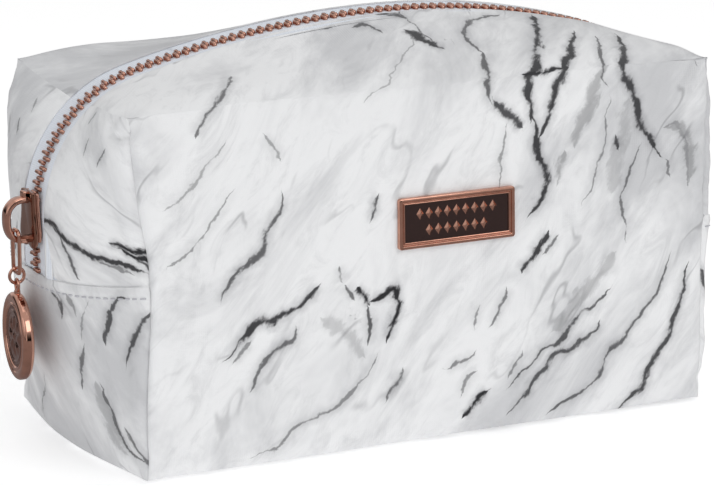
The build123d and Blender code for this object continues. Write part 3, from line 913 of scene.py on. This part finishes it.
def rosette(X, Y):
    # eight petals round a bead, inside a fine ring; millimetres above the field
    R, A = np.hypot(X, Y), np.arctan2(Y, X)
    petal = np.abs(np.cos(A * medallion["petals"] / 2)) ** 1.3
    rise = 0.55 * petal * np.clip(np.sin(math.pi * np.clip((R - 1.9) / 4.4, 0, 1)), 0, 1) ** 0.8
    rise += 0.6 * bell(R, 1.3) + 0.32 * bell(R - 7.6, 0.42)
    rise += 0.28 * bell(R - 8.7, 0.35) * (0.6 + 0.4 * np.cos(A * 40))
    return rise * (R < medallion["field"])


def makeMedallion():
    place = (Matrix.Translation(medCentre) @ Matrix.Rotation(math.radians(medallion["turn"]), 4, "Z")
        @ Matrix.Rotation(math.radians(-90), 4, "Y"))
    t, f = medallion["halfThickness"], medallion["field"]
    half = [(f - 0.2, t - 0.55), (f, t - 0.5), (f + 0.3, t - 0.15), (f + 0.75, t - 0.05),
        (f + 1.1, t - 0.3), (f + 1.5, t - 0.28), (f + 1.9, t - 0.02), (f + 2.8, t),
        (f + 3.55, t - 0.35), (f + 3.95, t - 0.95), (medallion["radius"], 0.35)]
    ring = lathe("medallion_rim", half + [(r, -h) for r, h in half[::-1]], place)
    face = [(0, t - 0.55)] + [(r, t - 0.55) for r in np.linspace(0.3, f, 42)] + [(f + 0.05, 0.6)]
    back = [(f + 0.05, -0.6), (f, 0.55 - t), (f / 2, 0.55 - t), (0, 0.55 - t)]
    field = lathe("medallion_field", face + back, place)
    mesh = field.data
    points = np.empty(len(mesh.vertices) * 3)
    mesh.vertices.foreach_get("co", points)
    local = np.array(place.inverted())
    q = points.reshape(-1, 3) @ local[:3, :3].T + local[:3, 3]
    front = q[:, 2] > 0.3 * mm
    q[:, 2] += np.where(front, rosette(q[:, 0] / mm, q[:, 1] / mm) * mm, 0)
    world = np.array(place)
    mesh.vertices.foreach_set("co", (q @ world[:3, :3].T + world[:3, 3]).ravel())
    mesh.update()
    for piece, node in ((ring, "medallion"), (field, "medallion_face")):
        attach(piece, "medallion")
        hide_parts(node)
    return ring, field


def tube(name, route, radius, closed=False, sides=14):
    # a round wire along a smooth line through the route's points
    if closed:
        route = route + route[:1]
    line = smoothLine(route, 6) * mm
    if closed:
        line = line[:-1]
        ahead = np.roll(line, -1, 0) - np.roll(line, 1, 0)
    else:
        ahead = np.gradient(line, axis=0)
    ahead /= np.linalg.norm(ahead, axis=1)[:, None]
    guide = np.array([0.31, 0.17, 0.93])
    u = np.cross(ahead, guide)
    u /= np.linalg.norm(u, axis=1)[:, None]
    v = np.cross(ahead, u)
    a = np.linspace(0, 2 * math.pi, sides, endpoint=False)
    points = (line[:, None] + radius * mm
        * (np.cos(a)[None, :, None] * u[:, None] + np.sin(a)[None, :, None] * v[:, None]))
    index = np.arange(points.shape[0] * sides).reshape(-1, sides)
    index = np.concatenate([index, index[:, :1]], 1)
    if closed:
        index = np.concatenate([index, index[:1]], 0)
    faces = facesOf(index).tolist()
    if not closed:
        faces += [index[0, :-1][::-1].tolist(), index[-1, :-1].tolist()]
    piece = newMesh(name, points.reshape(-1, 3), faces)
    fixNormals(piece)
    return piece


plate = {
    "half": (19.4, 7.7),
    "corner": 0.8,
    "border": [(0, -1.6), (0, 0.95), (0.1, 1.2), (0.32, 1.32), (0.9, 1.32), (1.08, 1.15), (1.16, 0.75),
        (1.5, 0.7), (1.62, 0.95), (1.78, 1.05), (2.0, 0.95), (2.1, 0.6), (2.1, 0.2)],
    "lozenges": ((9, 2.5), (7, -2.5)),
}


def roundedRect(a, b, r, count=6):
    angle = np.linspace(0, math.pi / 2, count)
    r = max(r, 0.02)
    out = []
    for n, (sx, sy) in enumerate(((1, 1), (-1, 1), (-1, -1), (1, -1))):
        turn = angle + n * math.pi / 2
        out.append(np.stack([sx * (a - r) + r * np.cos(turn), sy * (b - r) + r * np.sin(turn)], 1))
    return np.concatenate(out)


def platePlace():
    # on the swollen front, square to it and leaning as it leans
    low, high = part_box("name_plate_frame")
    x, z = (low.x + high.x) / 2, (low.z + high.z) / 2
    wall = skinGrids["front", "wall"][0].ravel()
    near = np.abs(skin[wall][:, [0, 2]] - [x, z])
    close = wall[(near[:, 0] < plate["half"][0] * mm) & (near[:, 1] < plate["half"][1] * mm)]
    p, n = skin[close], skinNormals[close].mean(0)
    n /= np.linalg.norm(n)
    push = ((p - [x, 0, z]) @ n).max() + 0.05 * mm
    y = (push) / n[1]
    across = np.cross([0, 0, 1], n)
    across /= np.linalg.norm(across)
    up = np.cross(n, across)
    m = Matrix.Identity(4)
    for row in range(3):
        m[row][0], m[row][1], m[row][2] = across[row], up[row], n[row]
    m.translation = Vector((x, y, z))
    return m


def makePlate():
    place = platePlace()
    a, b = plate["half"]
    rings = (np.stack([np.c_[roundedRect(a - o, b - o, plate["corner"] - o * 0.4), np.full(24, h)]
        for o, h in plate["border"]]) * mm)
    rings = np.concatenate([rings, rings[-1:] * [1, 1, 0] + [0, 0, -1.6 * mm], rings[:1]])
    index = np.arange(rings.shape[0] * 24).reshape(-1, 24)
    index = np.concatenate([index, index[:, :1]], 1)
    frame_ = newMesh("plate_frame", rings.reshape(-1, 3), facesOf(index), smooth=False)
    fixPoles(frame_)
    frame_.data.transform(place)
    bevel = frame_.modifiers.new("bevel", "BEVEL")
    bevel.width = 0.07 * mm
    bevel.segments = 2
    bevel.limit_method = "ANGLE"
    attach(frame_, "case")
    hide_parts("name_plate_frame")
    # the dark field, with two rows of small raised lozenges instead of lettering
    edge = roundedRect(a - 2.1, b - 2.1, 0.1) * mm
    centre = len(edge)
    points = np.concatenate([np.c_[edge, np.full(len(edge), 0.5 * mm)], [[0, 0, 0.5 * mm]]])
    faces = [[n, (n + 1) % centre, centre] for n in range(centre)]
    field = newMesh("plate_field", points, faces, smooth=False)
    field.data.transform(place)
    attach(field, "case")
    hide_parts("name_plate_inlay")
    marks, markFaces = [], []
    shape = np.array([(1, 0, 0), (0, 1, 0), (-1, 0, 0), (0, -1, 0), (0.35, 0, 1), (0, 0.35, 1),
        (-0.35, 0, 1), (0, -0.35, 1)])
    for count, y in plate["lozenges"]:
        for n in range(count):
            x = (n - (count - 1) / 2) * 3.05
            start = sum(len(m) for m in marks)
            marks.append(shape * [1.25, 1.8, 0.5] + [x, y, 0.48])
            for k in range(4):
                j = (k + 1) % 4
                markFaces.append([start + k, start + j, start + 4 + j, start + 4 + k])
            markFaces.append([start + 4, start + 5, start + 6, start + 7])
    beads = newMesh("plate_lozenges", np.concatenate(marks) * mm, markFaces, smooth=False)
    beads.data.transform(place)
    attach(beads, "case")
    return frame_, field, beads


thread = {"drop": 3.0 * mm, "length": 1.9 * mm, "pitch": 2.9 * mm, "radius": 0.3 * mm}


def makeStitches(side):
    # small capsules lying in the cloth along a line just below the end seam
    name = "endLeft" if side < 0 else "endRight"
    lines = []
    for half in ("front", "back"):
        index = skinGrids[half, name][0]
        z = skin[index[0], 2]
        k = int(np.argmin(np.abs(z - case["seamHeight"] + thread["drop"])))
        p, n = foldSkin[index[:, k]], skinNormals[index[:, k]]
        lines.append((p, n) if half == "back" else (p[::-1], n[::-1]))
    p = np.concatenate([lines[0][0], lines[1][0][1:]])
    n = np.concatenate([lines[0][1], lines[1][1][1:]])
    travel = np.concatenate([[0], np.cumsum(np.linalg.norm(np.diff(p, axis=0), axis=1))])
    middles = np.arange(2.4 * mm, travel[-1] - 2 * mm, thread["pitch"])

    def at(t):
        return [np.stack([np.interp(t, travel, v[:, k]) for k in range(3)], 1) for v in (p, n)]

    rings = []
    for share, size, sink in ((-0.5, 0.35, -0.02), (-0.4, 0.9, 0.1), (0, 1.0, 0.16), (0.4, 0.9, 0.1),
            (0.5, 0.35, -0.02)):
        centre, normal = at(middles + share * thread["length"])
        a = np.linspace(0, 2 * math.pi, 6, endpoint=False)
        ring = (centre[:, None] + normal[:, None]
            * (thread["radius"] * size * np.cos(a)[None, :, None] + sink * mm))
        ring[..., 2] += thread["radius"] * size * np.sin(a)
        rings.append(ring)
    points = np.stack(rings, 1)
    count = 5 * 6
    index = np.arange(count).reshape(5, 6)
    index = np.concatenate([index, index[:, :1]], 1)
    one = facesOf(index).tolist() + [index[0, :-1].tolist(), index[-1, :-1].tolist()[::-1]]
    faces = [[v + count * k for v in f] for k in range(len(middles)) for f in one]
    word = "left" if side < 0 else "right"
    piece = newMesh(f"topstitch_{word}", points.reshape(-1, 3), faces)
    fixNormals(piece)
    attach(piece, "case")
    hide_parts(f"topstitch_{word}_end")
    return piece


sliderAt = {"chainX": -106.725, "height": 71.0, "pullX": -113.475, "pivot": 67.8, "linkBar": 55.1,
    "ring": 54.1, "ringRadius": 2.3}


def onSlider(points):
    # (up the end, across, outwards) in millimetres to the case's frame
    p = np.asarray(points, float)
    return (np.stack([sliderAt["chainX"] - p[..., 2], p[..., 1], sliderAt["height"] + p[..., 0]], -1)
        * mm)


def plateOutline():
    # square rear end, waist, two round shoulders with a notch between them
    half = [(-7.4, 0.0), (-8.3, 1.6), (-8.5, 3.4), (-7.3, 5.2), (-4.8, 6.0), (-2.2, 5.75), (1.0, 5.0),
        (5.0, 4.7), (7.9, 4.55), (8.4, 4.1), (8.5, 2.0)]
    ring = half + [(u, -v) for u, v in half[:0:-1]]
    line = smoothLine(ring + ring[:1], 6)[:-1]
    ahead = np.roll(line, -1, 0) - np.roll(line, 1, 0)
    ahead /= np.linalg.norm(ahead, axis=1)[:, None]
    return line, np.stack([ahead[:, 1], -ahead[:, 0]], 1)


def loftOutline(name, line, normal, rings):
    # rings (inset, height) of one outline, closed at both ends
    sign = np.sign(((line - line.mean(0)) * normal).sum())
    points = []
    for inset, height in rings:
        flat = line - sign * inset * normal
        points.append(np.c_[flat, np.full(len(line), 1.0) * height])
    points = np.stack(points)
    index = np.arange(points.shape[0] * len(line)).reshape(-1, len(line))
    index = np.concatenate([index, index[:, :1]], 1)
    faces = facesOf(index).tolist() + [index[0, :-1].tolist(), index[-1, :-1].tolist()[::-1]]
    piece = newMesh(name, onSlider(points.reshape(-1, 3)), faces)
    fixNormals(piece)
    return piece


def makeSlider():
    line, normal = plateOutline()
    top = loftOutline("slider_top", line, normal,
        [(0.5, 1.85), (0.12, 1.9), (0.0, 2.15), (0.0, 2.75), (0.14, 3.0), (0.45, 3.15), (1.6, 3.25)])
    low = loftOutline("slider_low", line, normal,
        [(0.5, -4.0), (0.1, -3.9), (0.0, -3.6), (0.0, -3.0), (0.1, -2.75), (0.5, -2.7)])
    pieces = [top, low]
    for side in (-1, 1):
        # a flange turned in along each side, closing round the tape
        edge = [(-6.2, 5.1), (-3.6, 5.45), (0.5, 4.75), (5.0, 4.25), (8.0, 4.15)]
        route = onSlider([(u, side * v, 1.35) for u, v in edge]) / mm
        pieces.append(tube(f"slider_flange_{'left' if side < 0 else 'right'}",
            [tuple(p) for p in route], 0.55))
    post = loftOutline("slider_post", np.array([(-5.2, -0.2), (-2.6, -0.2), (-2.6, 0.2), (-5.2, 0.2)]),
        np.zeros((4, 2)), [(0, -2.8), (0, 2.0)])
    pieces.append(post)
    block = roundedRect(1.5, 1.55, 0.5) + [7.0, 0]
    out = roundedRect(1, 1, 0.98)
    catch = loftOutline("slider_catch", block, out / np.linalg.norm(out, axis=1)[:, None],
        [(0, 2.9), (0, 4.3), (0.15, 4.6), (0.5, 4.75)])
    pieces.append(catch)
    # the bridge: a rounded strap carried along an arch
    arch = smoothLine([(-6.0, 2.9), (-6.15, 5.2), (-5.3, 7.8), (-2.9, 9.25), (0.4, 9.6), (3.2, 9.15),
        (5.2, 7.4), (5.9, 5.2), (5.8, 2.9)], 6)
    ahead = np.gradient(arch, axis=0)
    ahead /= np.linalg.norm(ahead, axis=1)[:, None]
    side = np.stack([-ahead[:, 1], ahead[:, 0]], 1)
    a = np.linspace(0, 2 * math.pi, 20, endpoint=False)
    across = 1.95 * np.sign(np.cos(a)) * np.abs(np.cos(a)) ** 0.4
    thick = 0.95 * np.sign(np.sin(a)) * np.abs(np.sin(a)) ** 0.7
    u = arch[:, :1] + side[:, :1] * thick
    w = arch[:, 1:] + side[:, 1:] * thick
    strap = onSlider(np.stack([u, across[None] + 0 * u, w], -1).reshape(-1, 3))
    index = np.arange(len(arch) * 20).reshape(-1, 20)
    index = np.concatenate([index, index[:, :1]], 1)
    bridge = newMesh("slider_arch", strap,
        facesOf(index).tolist() + [index[0, :-1].tolist(), index[-1, :-1].tolist()])
    fixNormals(bridge)
    for piece in pieces + [bridge]:
        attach(piece, "slider")
    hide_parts("slider_body")
    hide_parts("slider_bridge")
    return pieces + [bridge]


def makePull():
    x, top, low = sliderAt["pullX"], sliderAt["pivot"], sliderAt["linkBar"]
    side = [(1.3, low), (2.3, low + 0.5), (2.6, low + 2), (2.6, low + 6), (2.6, top - 2.6),
        (2.35, top - 0.8), (1.2, top)]
    loop = [(x, y, z) for y, z in side] + [(x, -y, z) for y, z in side[::-1]]
    link = tube("pull_wire", loop, 0.6, closed=True)
    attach(link, "pull")
    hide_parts("pull_link")
    turn = np.linspace(0, 2 * math.pi, 12, endpoint=False)
    r, z = sliderAt["ringRadius"], sliderAt["ring"]
    ring = tube("jump_ring_wire", [(x + r * math.cos(t), 0, z + r * math.sin(t)) for t in turn], 0.5,
        closed=True)
    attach(ring, "ring")
    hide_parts("jump_ring")
    eyeZ, eyeR = medCentre.z / mm + medallion["eyeUp"], 1.75
    c, n = math.cos(math.radians(medallion["turn"])), math.sin(math.radians(medallion["turn"]))
    eye = tube("medallion_eye", [(x - n * eyeR * math.cos(t), c * eyeR * math.cos(t),
        eyeZ + eyeR * math.sin(t)) for t in turn], 0.45, closed=True)
    stem = tube("medallion_stem", [(x, 0, eyeZ - 3.2), (x, 0, eyeZ - 2.4), (x, 0, eyeZ - 1.6)], 0.95)
    for piece in (eye, stem):
        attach(piece, "medallion")
    return [link, ring, eye, stem]


hardware = makeSlider() + makePull()
medallionRim, medallionField = makeMedallion()
plateFrame, plateField, plateMarks = makePlate()
stitchPieces = [makeStitches(-1), makeStitches(1)]
print("medallion, plate and stitches")


def material(name, **sockets):
    m = bpy.data.materials.new(name)
    m.use_nodes = True
    shader = m.node_tree.nodes["Principled BSDF"]
    for label, value in sockets.items():
        shader.inputs[label.replace("_", " ")].default_value = value
    return m, m.node_tree.nodes, m.node_tree.links, shader


def put(piece, m):
    piece.data.materials.clear()
    piece.data.materials.append(m)


def group(name, inputs, outputs):
    tree = bpy.data.node_groups.new(name, "ShaderNodeTree")
    for label, kind, value in inputs:
        socket = tree.interface.new_socket(label, in_out="INPUT", socket_type=kind)
        if value is not None:
            socket.default_value = value
    for label, kind in outputs:
        tree.interface.new_socket(label, in_out="OUTPUT", socket_type=kind)
    return tree, tree.nodes.new("NodeGroupInput"), tree.nodes.new("NodeGroupOutput")


def mathNode(tree, operation, a, b=None, c=None, clamp=False):
    node = tree.nodes.new("ShaderNodeMath")
    node.operation = operation
    node.use_clamp = clamp
    for socket, value in zip(node.inputs, (a, b, c)):
        if value is None:
            continue
        if isinstance(value, (int, float)):
            socket.default_value = value
        else:
            tree.links.new(value, socket)
    return node.outputs[0]


def remap(tree, value, low, high, to=(0, 1)):
    node = tree.nodes.new("ShaderNodeMapRange")
    node.interpolation_type = "SMOOTHSTEP"
    node.inputs["From Min"].default_value, node.inputs["From Max"].default_value = low, high
    node.inputs["To Min"].default_value, node.inputs["To Max"].default_value = to
    tree.links.new(value, node.inputs["Value"])
    return node.outputs["Result"]


def noiseNode(tree, vector, scale, detail=3.0, rough=0.5, distort=0.0):
    node = tree.nodes.new("ShaderNodeTexNoise")
    node.inputs["Scale"].default_value = scale
    node.inputs["Detail"].default_value = detail
    node.inputs["Roughness"].default_value = rough
    node.inputs["Distortion"].default_value = distort
    tree.links.new(vector, node.inputs["Vector"])
    return node.outputs["Fac"]


def mixColor(tree, factor, a, b):
    node = tree.nodes.new("ShaderNodeMix")
    node.data_type = "RGBA"
    for socket, value in ((node.inputs[0], factor), (node.inputs[6], a), (node.inputs[7], b)):
        if isinstance(value, (int, float)):
            socket.default_value = value
        elif isinstance(value, tuple):
            socket.default_value = (*value, 1)
        else:
            tree.links.new(value, socket)
    return node.outputs[2]


def inkGroup():
    # one printed stroke: core and smoky halo from signed distance, half width and darkness
    tree, given, out = group("inkStroke",
        [("Stroke", "NodeSocketVector", None), ("Waver", "NodeSocketFloat", 0.0),
        ("Break", "NodeSocketFloat", 1.0)],
                             [("Core", "NodeSocketFloat"), ("Halo", "NodeSocketFloat")])
    split = tree.nodes.new("ShaderNodeSeparateXYZ")
    tree.links.new(given.outputs["Stroke"], split.inputs[0])
    far = mathNode(tree, "ABSOLUTE", mathNode(tree, "ADD", split.outputs[0], given.outputs["Waver"]))
    width = mathNode(tree, "MAXIMUM", split.outputs[1], 0.000001)
    ratio = mathNode(tree, "DIVIDE", far, width)
    rough = mathNode(tree, "ADD", ratio, given.outputs["Break"])
    core = remap(tree, rough, 0.95, 0.25)
    smoke = remap(tree, mathNode(tree, "ADD", far,
        mathNode(tree, "MULTIPLY", given.outputs["Break"], 0.0011)), 0.0036, 0.0)
    halo = mathNode(tree, "MULTIPLY", smoke, mathNode(tree, "MULTIPLY", width, 900.0, clamp=True))
    tree.links.new(mathNode(tree, "MULTIPLY", core, split.outputs[2]), out.inputs["Core"])
    tree.links.new(mathNode(tree, "MULTIPLY", halo, split.outputs[2]), out.inputs["Halo"])
    return tree


def marble():
    m, nodes, links, shader = material("marbled_cloth", Roughness=0.45, Coat_Weight=0.03,
        Coat_Roughness=0.3, Specular_IOR_Level=0.30)
    tree = m.node_tree
    uv = nodes.new("ShaderNodeUVMap")
    uv.uv_map = "cloth"
    cloth = uv.outputs[0]
    first = nodes.new("ShaderNodeMapping")  # the clouds run up to the right
    first.inputs["Rotation"].default_value = (0, 0, math.radians(-52))
    links.new(cloth, first.inputs["Vector"])
    stretch = nodes.new("ShaderNodeMapping")
    stretch.inputs["Scale"].default_value = (0.40, 1.0, 1.0)
    links.new(first.outputs[0], stretch.inputs["Vector"])
    lean = stretch.outputs[0]
    split = nodes.new("ShaderNodeSeparateXYZ")
    links.new(cloth, split.inputs[0])
    # grey clouds, thicker towards the right
    clouds = noiseNode(tree, lean, 34, 5, 0.62, 0.6)
    richer = remap(tree, split.outputs[0], -0.05, 0.09, (0.0, 0.09))
    cloud = remap(tree, mathNode(tree, "ADD", clouds, richer), 0.44, 0.72)
    wisps = remap(tree, noiseNode(tree, lean, 120, 6, 0.7, 1.2), 0.46, 0.74)
    # fine cracks: where a stretched noise crosses its middle value
    ridge = mathNode(tree, "ABSOLUTE",
        mathNode(tree, "SUBTRACT", noiseNode(tree, lean, 40, 3, 0.5, 0.25), 0.5))
    patch = remap(tree, noiseNode(tree, lean, 60, 2, 0.5), 0.50, 0.66)
    crack = mathNode(tree, "MULTIPLY", remap(tree, ridge, 0.018, 0.0), patch)
    # the drawn strokes, wavering and broken by noise
    wave = mathNode(tree, "MULTIPLY",
        mathNode(tree, "SUBTRACT", noiseNode(tree, cloth, 120, 5, 0.58), 0.5), 0.0052)
    breaks = mathNode(tree, "MULTIPLY",
        mathNode(tree, "SUBTRACT", noiseNode(tree, lean, 240, 6, 0.70, 0.4), 0.48), 3.2)
    core, halo = None, None
    tool = inkGroup()
    for n in range(layerCount):
        source = nodes.new("ShaderNodeAttribute")
        source.attribute_name = f"ink{n}"
        stroke = nodes.new("ShaderNodeGroup")
        stroke.node_tree = tool
        links.new(source.outputs["Vector"], stroke.inputs["Stroke"])
        links.new(wave, stroke.inputs["Waver"])
        links.new(breaks, stroke.inputs["Break"])
        core = (stroke.outputs["Core"] if core is None
            else mathNode(tree, "MAXIMUM", core, stroke.outputs["Core"]))
        halo = (stroke.outputs["Halo"] if halo is None
            else mathNode(tree, "MAXIMUM", halo, stroke.outputs["Halo"]))
    color = mixColor(tree, mathNode(tree, "MULTIPLY", cloud, 0.66), (0.91, 0.915, 0.925),
        (0.50, 0.505, 0.525))
    color = mixColor(tree, mathNode(tree, "MULTIPLY", wisps, 0.34), color, (0.50, 0.505, 0.52))
    color = mixColor(tree, mathNode(tree, "MULTIPLY", crack, 0.42), color, (0.20, 0.20, 0.215))
    color = mixColor(tree, mathNode(tree, "MULTIPLY", halo, 0.50), color, (0.24, 0.24, 0.26))
    color = mixColor(tree, mathNode(tree, "MULTIPLY", core, 0.97), color, (0.012, 0.012, 0.015))
    links.new(color, shader.inputs["Base Color"])
    # emboss: a fine linen-like weave and a softer unevenness
    bands = []
    for direction in ("X", "Y"):
        weave = nodes.new("ShaderNodeTexWave")
        weave.bands_direction = direction
        weave.inputs["Scale"].default_value = 420
        weave.inputs["Distortion"].default_value = 3.0
        weave.inputs["Detail"].default_value = 2
        links.new(cloth, weave.inputs["Vector"])
        bands.append(weave.outputs["Fac"])
    threads = mathNode(tree, "MULTIPLY", mathNode(tree, "ADD", *bands), 0.5)
    soft = noiseNode(tree, cloth, 260, 4, 0.6)
    height = mathNode(tree, "ADD", mathNode(tree, "MULTIPLY", threads, 0.5), soft)
    bump = nodes.new("ShaderNodeBump")
    bump.inputs["Strength"].default_value = 0.22
    bump.inputs["Distance"].default_value = 0.00025
    links.new(height, bump.inputs["Height"])
    links.new(bump.outputs[0], shader.inputs["Normal"])
    links.new(remap(tree, soft, 0.3, 0.7, (0.36, 0.50)), shader.inputs["Roughness"])
    return m


def roseGold(name, color, rough, bumpy=0.02):
    m, nodes, links, shader = material(name, Metallic=1.0, Roughness=rough)
    tree = m.node_tree
    place = nodes.new("ShaderNodeTexCoord").outputs["Object"]
    smudge = noiseNode(tree, place, 320, 3, 0.6)
    tone = mixColor(tree, remap(tree, smudge, 0.35, 0.7), color, tuple(0.86 * c for c in color))
    links.new(tone, shader.inputs["Base Color"])
    links.new(remap(tree, smudge, 0.3, 0.75, (rough * 0.75, rough * 1.35)), shader.inputs["Roughness"])
    bump = nodes.new("ShaderNodeBump")
    bump.inputs["Strength"].default_value = bumpy
    bump.inputs["Distance"].default_value = 0.0002
    links.new(noiseNode(tree, place, 900, 2, 0.5), bump.inputs["Height"])
    links.new(bump.outputs[0], shader.inputs["Normal"])
    return m


def weaveCloth(name, color, scale, rough=0.8):
    m, nodes, links, shader = material(name, Roughness=rough)
    tree = m.node_tree
    uv = nodes.new("ShaderNodeUVMap")
    uv.uv_map = "cloth"
    bands = []
    for direction in ("X", "Y"):
        wave = nodes.new("ShaderNodeTexWave")
        wave.bands_direction = direction
        wave.inputs["Scale"].default_value = scale
        wave.inputs["Distortion"].default_value = 1.0
        links.new(uv.outputs[0], wave.inputs["Vector"])
        bands.append(wave.outputs["Fac"])
    threads = mathNode(tree, "MAXIMUM", *bands)
    links.new(mixColor(tree, threads, tuple(0.82 * c for c in color), color),
        shader.inputs["Base Color"])
    bump = nodes.new("ShaderNodeBump")
    bump.inputs["Strength"].default_value = 0.5
    bump.inputs["Distance"].default_value = 0.0002
    links.new(threads, bump.inputs["Height"])
    links.new(bump.outputs[0], shader.inputs["Normal"])
    return m


def plain(name, color, rough, metallic=0.0, scale=500):
    m, nodes, links, shader = material(name, Roughness=rough, Metallic=metallic)
    tree = m.node_tree
    place = nodes.new("ShaderNodeTexCoord").outputs["Object"]
    grain = noiseNode(tree, place, scale, 3, 0.6)
    links.new(mixColor(tree, grain, tuple(0.85 * c for c in color), color), shader.inputs["Base Color"])
    return m


marbleCloth = marble()
gold = roseGold("rose_gold_polished", (0.70, 0.375, 0.28), 0.09)
goldTeeth = roseGold("rose_gold_teeth", (0.62, 0.34, 0.26), 0.20)
goldFace = roseGold("rose_gold_face", (0.33, 0.18, 0.145), 0.20, 0.05)
tapeCloth = weaveCloth("zip_tape_weave", (0.86, 0.90, 0.97), 500)
liningCloth = weaveCloth("lining_weave", (0.78, 0.78, 0.79), 300)
# a darker copy of the rose gold: painted shade standing in for the dark reflection on the slider's top plate
goldPaintedShade = roseGold("rose_gold_painted_shade", (0.34, 0.17, 0.12), 0.12)
darkField = plain("plate_dark", (0.032, 0.014, 0.012), 0.2, 0.1)
threadWhite = plain("thread", (0.60, 0.60, 0.64), 0.7)
steel = plain("hidden_steel", (0.45, 0.45, 0.46), 0.4, 1.0)

for piece in outerPieces:
    put(piece, marbleCloth)
for piece in liningPieces:
    put(piece, liningCloth)
for piece in tapePieces:
    put(piece, tapeCloth)
for piece in teethPieces:
    put(piece, goldTeeth)
for piece in (medallionRim, plateFrame, plateMarks, *hardware):
    put(piece, gold)
put(medallionField, goldFace)
# the slider's top plate gets the darker copy of the rose gold, painted shade
put(hardware[0], goldPaintedShade)
put(plateField, darkField)
for piece in stitchPieces:
    put(piece, threadWhite)
put(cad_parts["name_plate_washers"], steel)
print("materials")


view = {"target": (-1.3, 0, 51), "turn": 26.7, "tilt": 14.44, "distance": 1081, "lens": 176.5}


def makeCamera():
    turn, tilt = math.radians(view["turn"]), math.radians(view["tilt"])
    back = Vector((-math.sin(turn) * math.cos(tilt), -math.cos(turn) * math.cos(tilt), math.sin(tilt)))
    camera = bpy.data.objects.new("camera", bpy.data.cameras.new("camera"))
    bpy.context.collection.objects.link(camera)
    camera.location = (Vector(view["target"]) + back * view["distance"]) * mm
    camera.rotation_euler = back.to_track_quat("Z", "Y").to_euler()
    camera.data.lens = view["lens"]
    camera.data.sensor_width = 36
    camera.data.clip_start = 0.01
    bpy.context.scene.camera = camera


def softbox(name, where, size, power, color=(1, 1, 1)):
    light = bpy.data.lights.new(name, "AREA")
    light.shape = "RECTANGLE"
    light.size, light.size_y = size
    light.energy = power
    light.color = color
    lamp = bpy.data.objects.new(name, light)
    lamp.location = where
    lamp.rotation_euler = (Vector(where) - Vector((0, 0, 0.05))).to_track_quat("Z", "Y").to_euler()
    bpy.context.collection.objects.link(lamp)


def makeStudio():
    floor = newMesh("floor", np.array([(-3, -3, 0), (3, -3, 0), (3, 3, 0), (-3, 3, 0)]), [[0, 1, 2, 3]])
    pale, nodes, links, shader = material("pale_floor", Roughness=0.9)
    shader.inputs["Base Color"].default_value = (0.93, 0.93, 0.93, 1)
    shader.inputs["Emission Color"].default_value = (1, 1, 1, 1)
    # what the metal mirrors is darker
    mirrored = nodes.new("ShaderNodeLightPath").outputs["Is Glossy Ray"]
    links.new(mixColor(pale.node_tree, mirrored, (0.93, 0.93, 0.93), (0.34, 0.32, 0.32)),
        shader.inputs["Base Color"])
    links.new(remap(pale.node_tree, mirrored, 0, 1, (0.35, 0.0)), shader.inputs["Emission Strength"])
    put(floor, pale)
    softbox("key", (0.25, -1.1, 0.9), (0.9, 0.7), 3.4)
    softbox("left", (-1.2, -0.35, 0.5), (0.6, 0.9), 0.9, (0.93, 0.96, 1.0))
    softbox("top", (0.0, 0.2, 1.3), (1.0, 1.0), 1.8)
    world = bpy.data.worlds.new("studio")
    bpy.context.scene.world = world
    world.use_nodes = True
    nodes, links = world.node_tree.nodes, world.node_tree.links
    # white overhead, dark bands near the horizon for the metal to reflect; the backdrop itself is white
    place = nodes.new("ShaderNodeTexCoord").outputs["Generated"]
    split = nodes.new("ShaderNodeSeparateXYZ")
    links.new(place, split.inputs[0])
    tree = world.node_tree
    high = remap(tree, split.outputs[2], 0.05, 0.55)
    turn = mathNode(tree, "ARCTAN2", split.outputs[1], split.outputs[0])
    band = remap(tree, mathNode(tree, "SINE", mathNode(tree, "MULTIPLY", turn, 5.0)), -0.25, 0.65,
        (0.0, 0.62))
    level = mathNode(tree, "ADD",
        mathNode(tree, "MULTIPLY", mathNode(tree, "SUBTRACT", 1.0, high), band),
        mathNode(tree, "MULTIPLY", high, 0.62))
    back = nodes["Background"]
    mixed = nodes.new("ShaderNodeMixShader")
    white = nodes.new("ShaderNodeBackground")
    white.inputs["Strength"].default_value = 1.0
    seen = nodes.new("ShaderNodeLightPath")
    links.new(level, back.inputs["Strength"])
    back.inputs["Color"].default_value = (1, 1, 1, 1)
    links.new(seen.outputs["Is Camera Ray"], mixed.inputs[0])
    links.new(back.outputs[0], mixed.inputs[1])
    links.new(white.outputs[0], mixed.inputs[2])
    links.new(mixed.outputs[0], nodes["World Output"].inputs["Surface"])
    bpy.context.scene.view_settings.view_transform = "Standard"


makeCamera()
makeStudio()
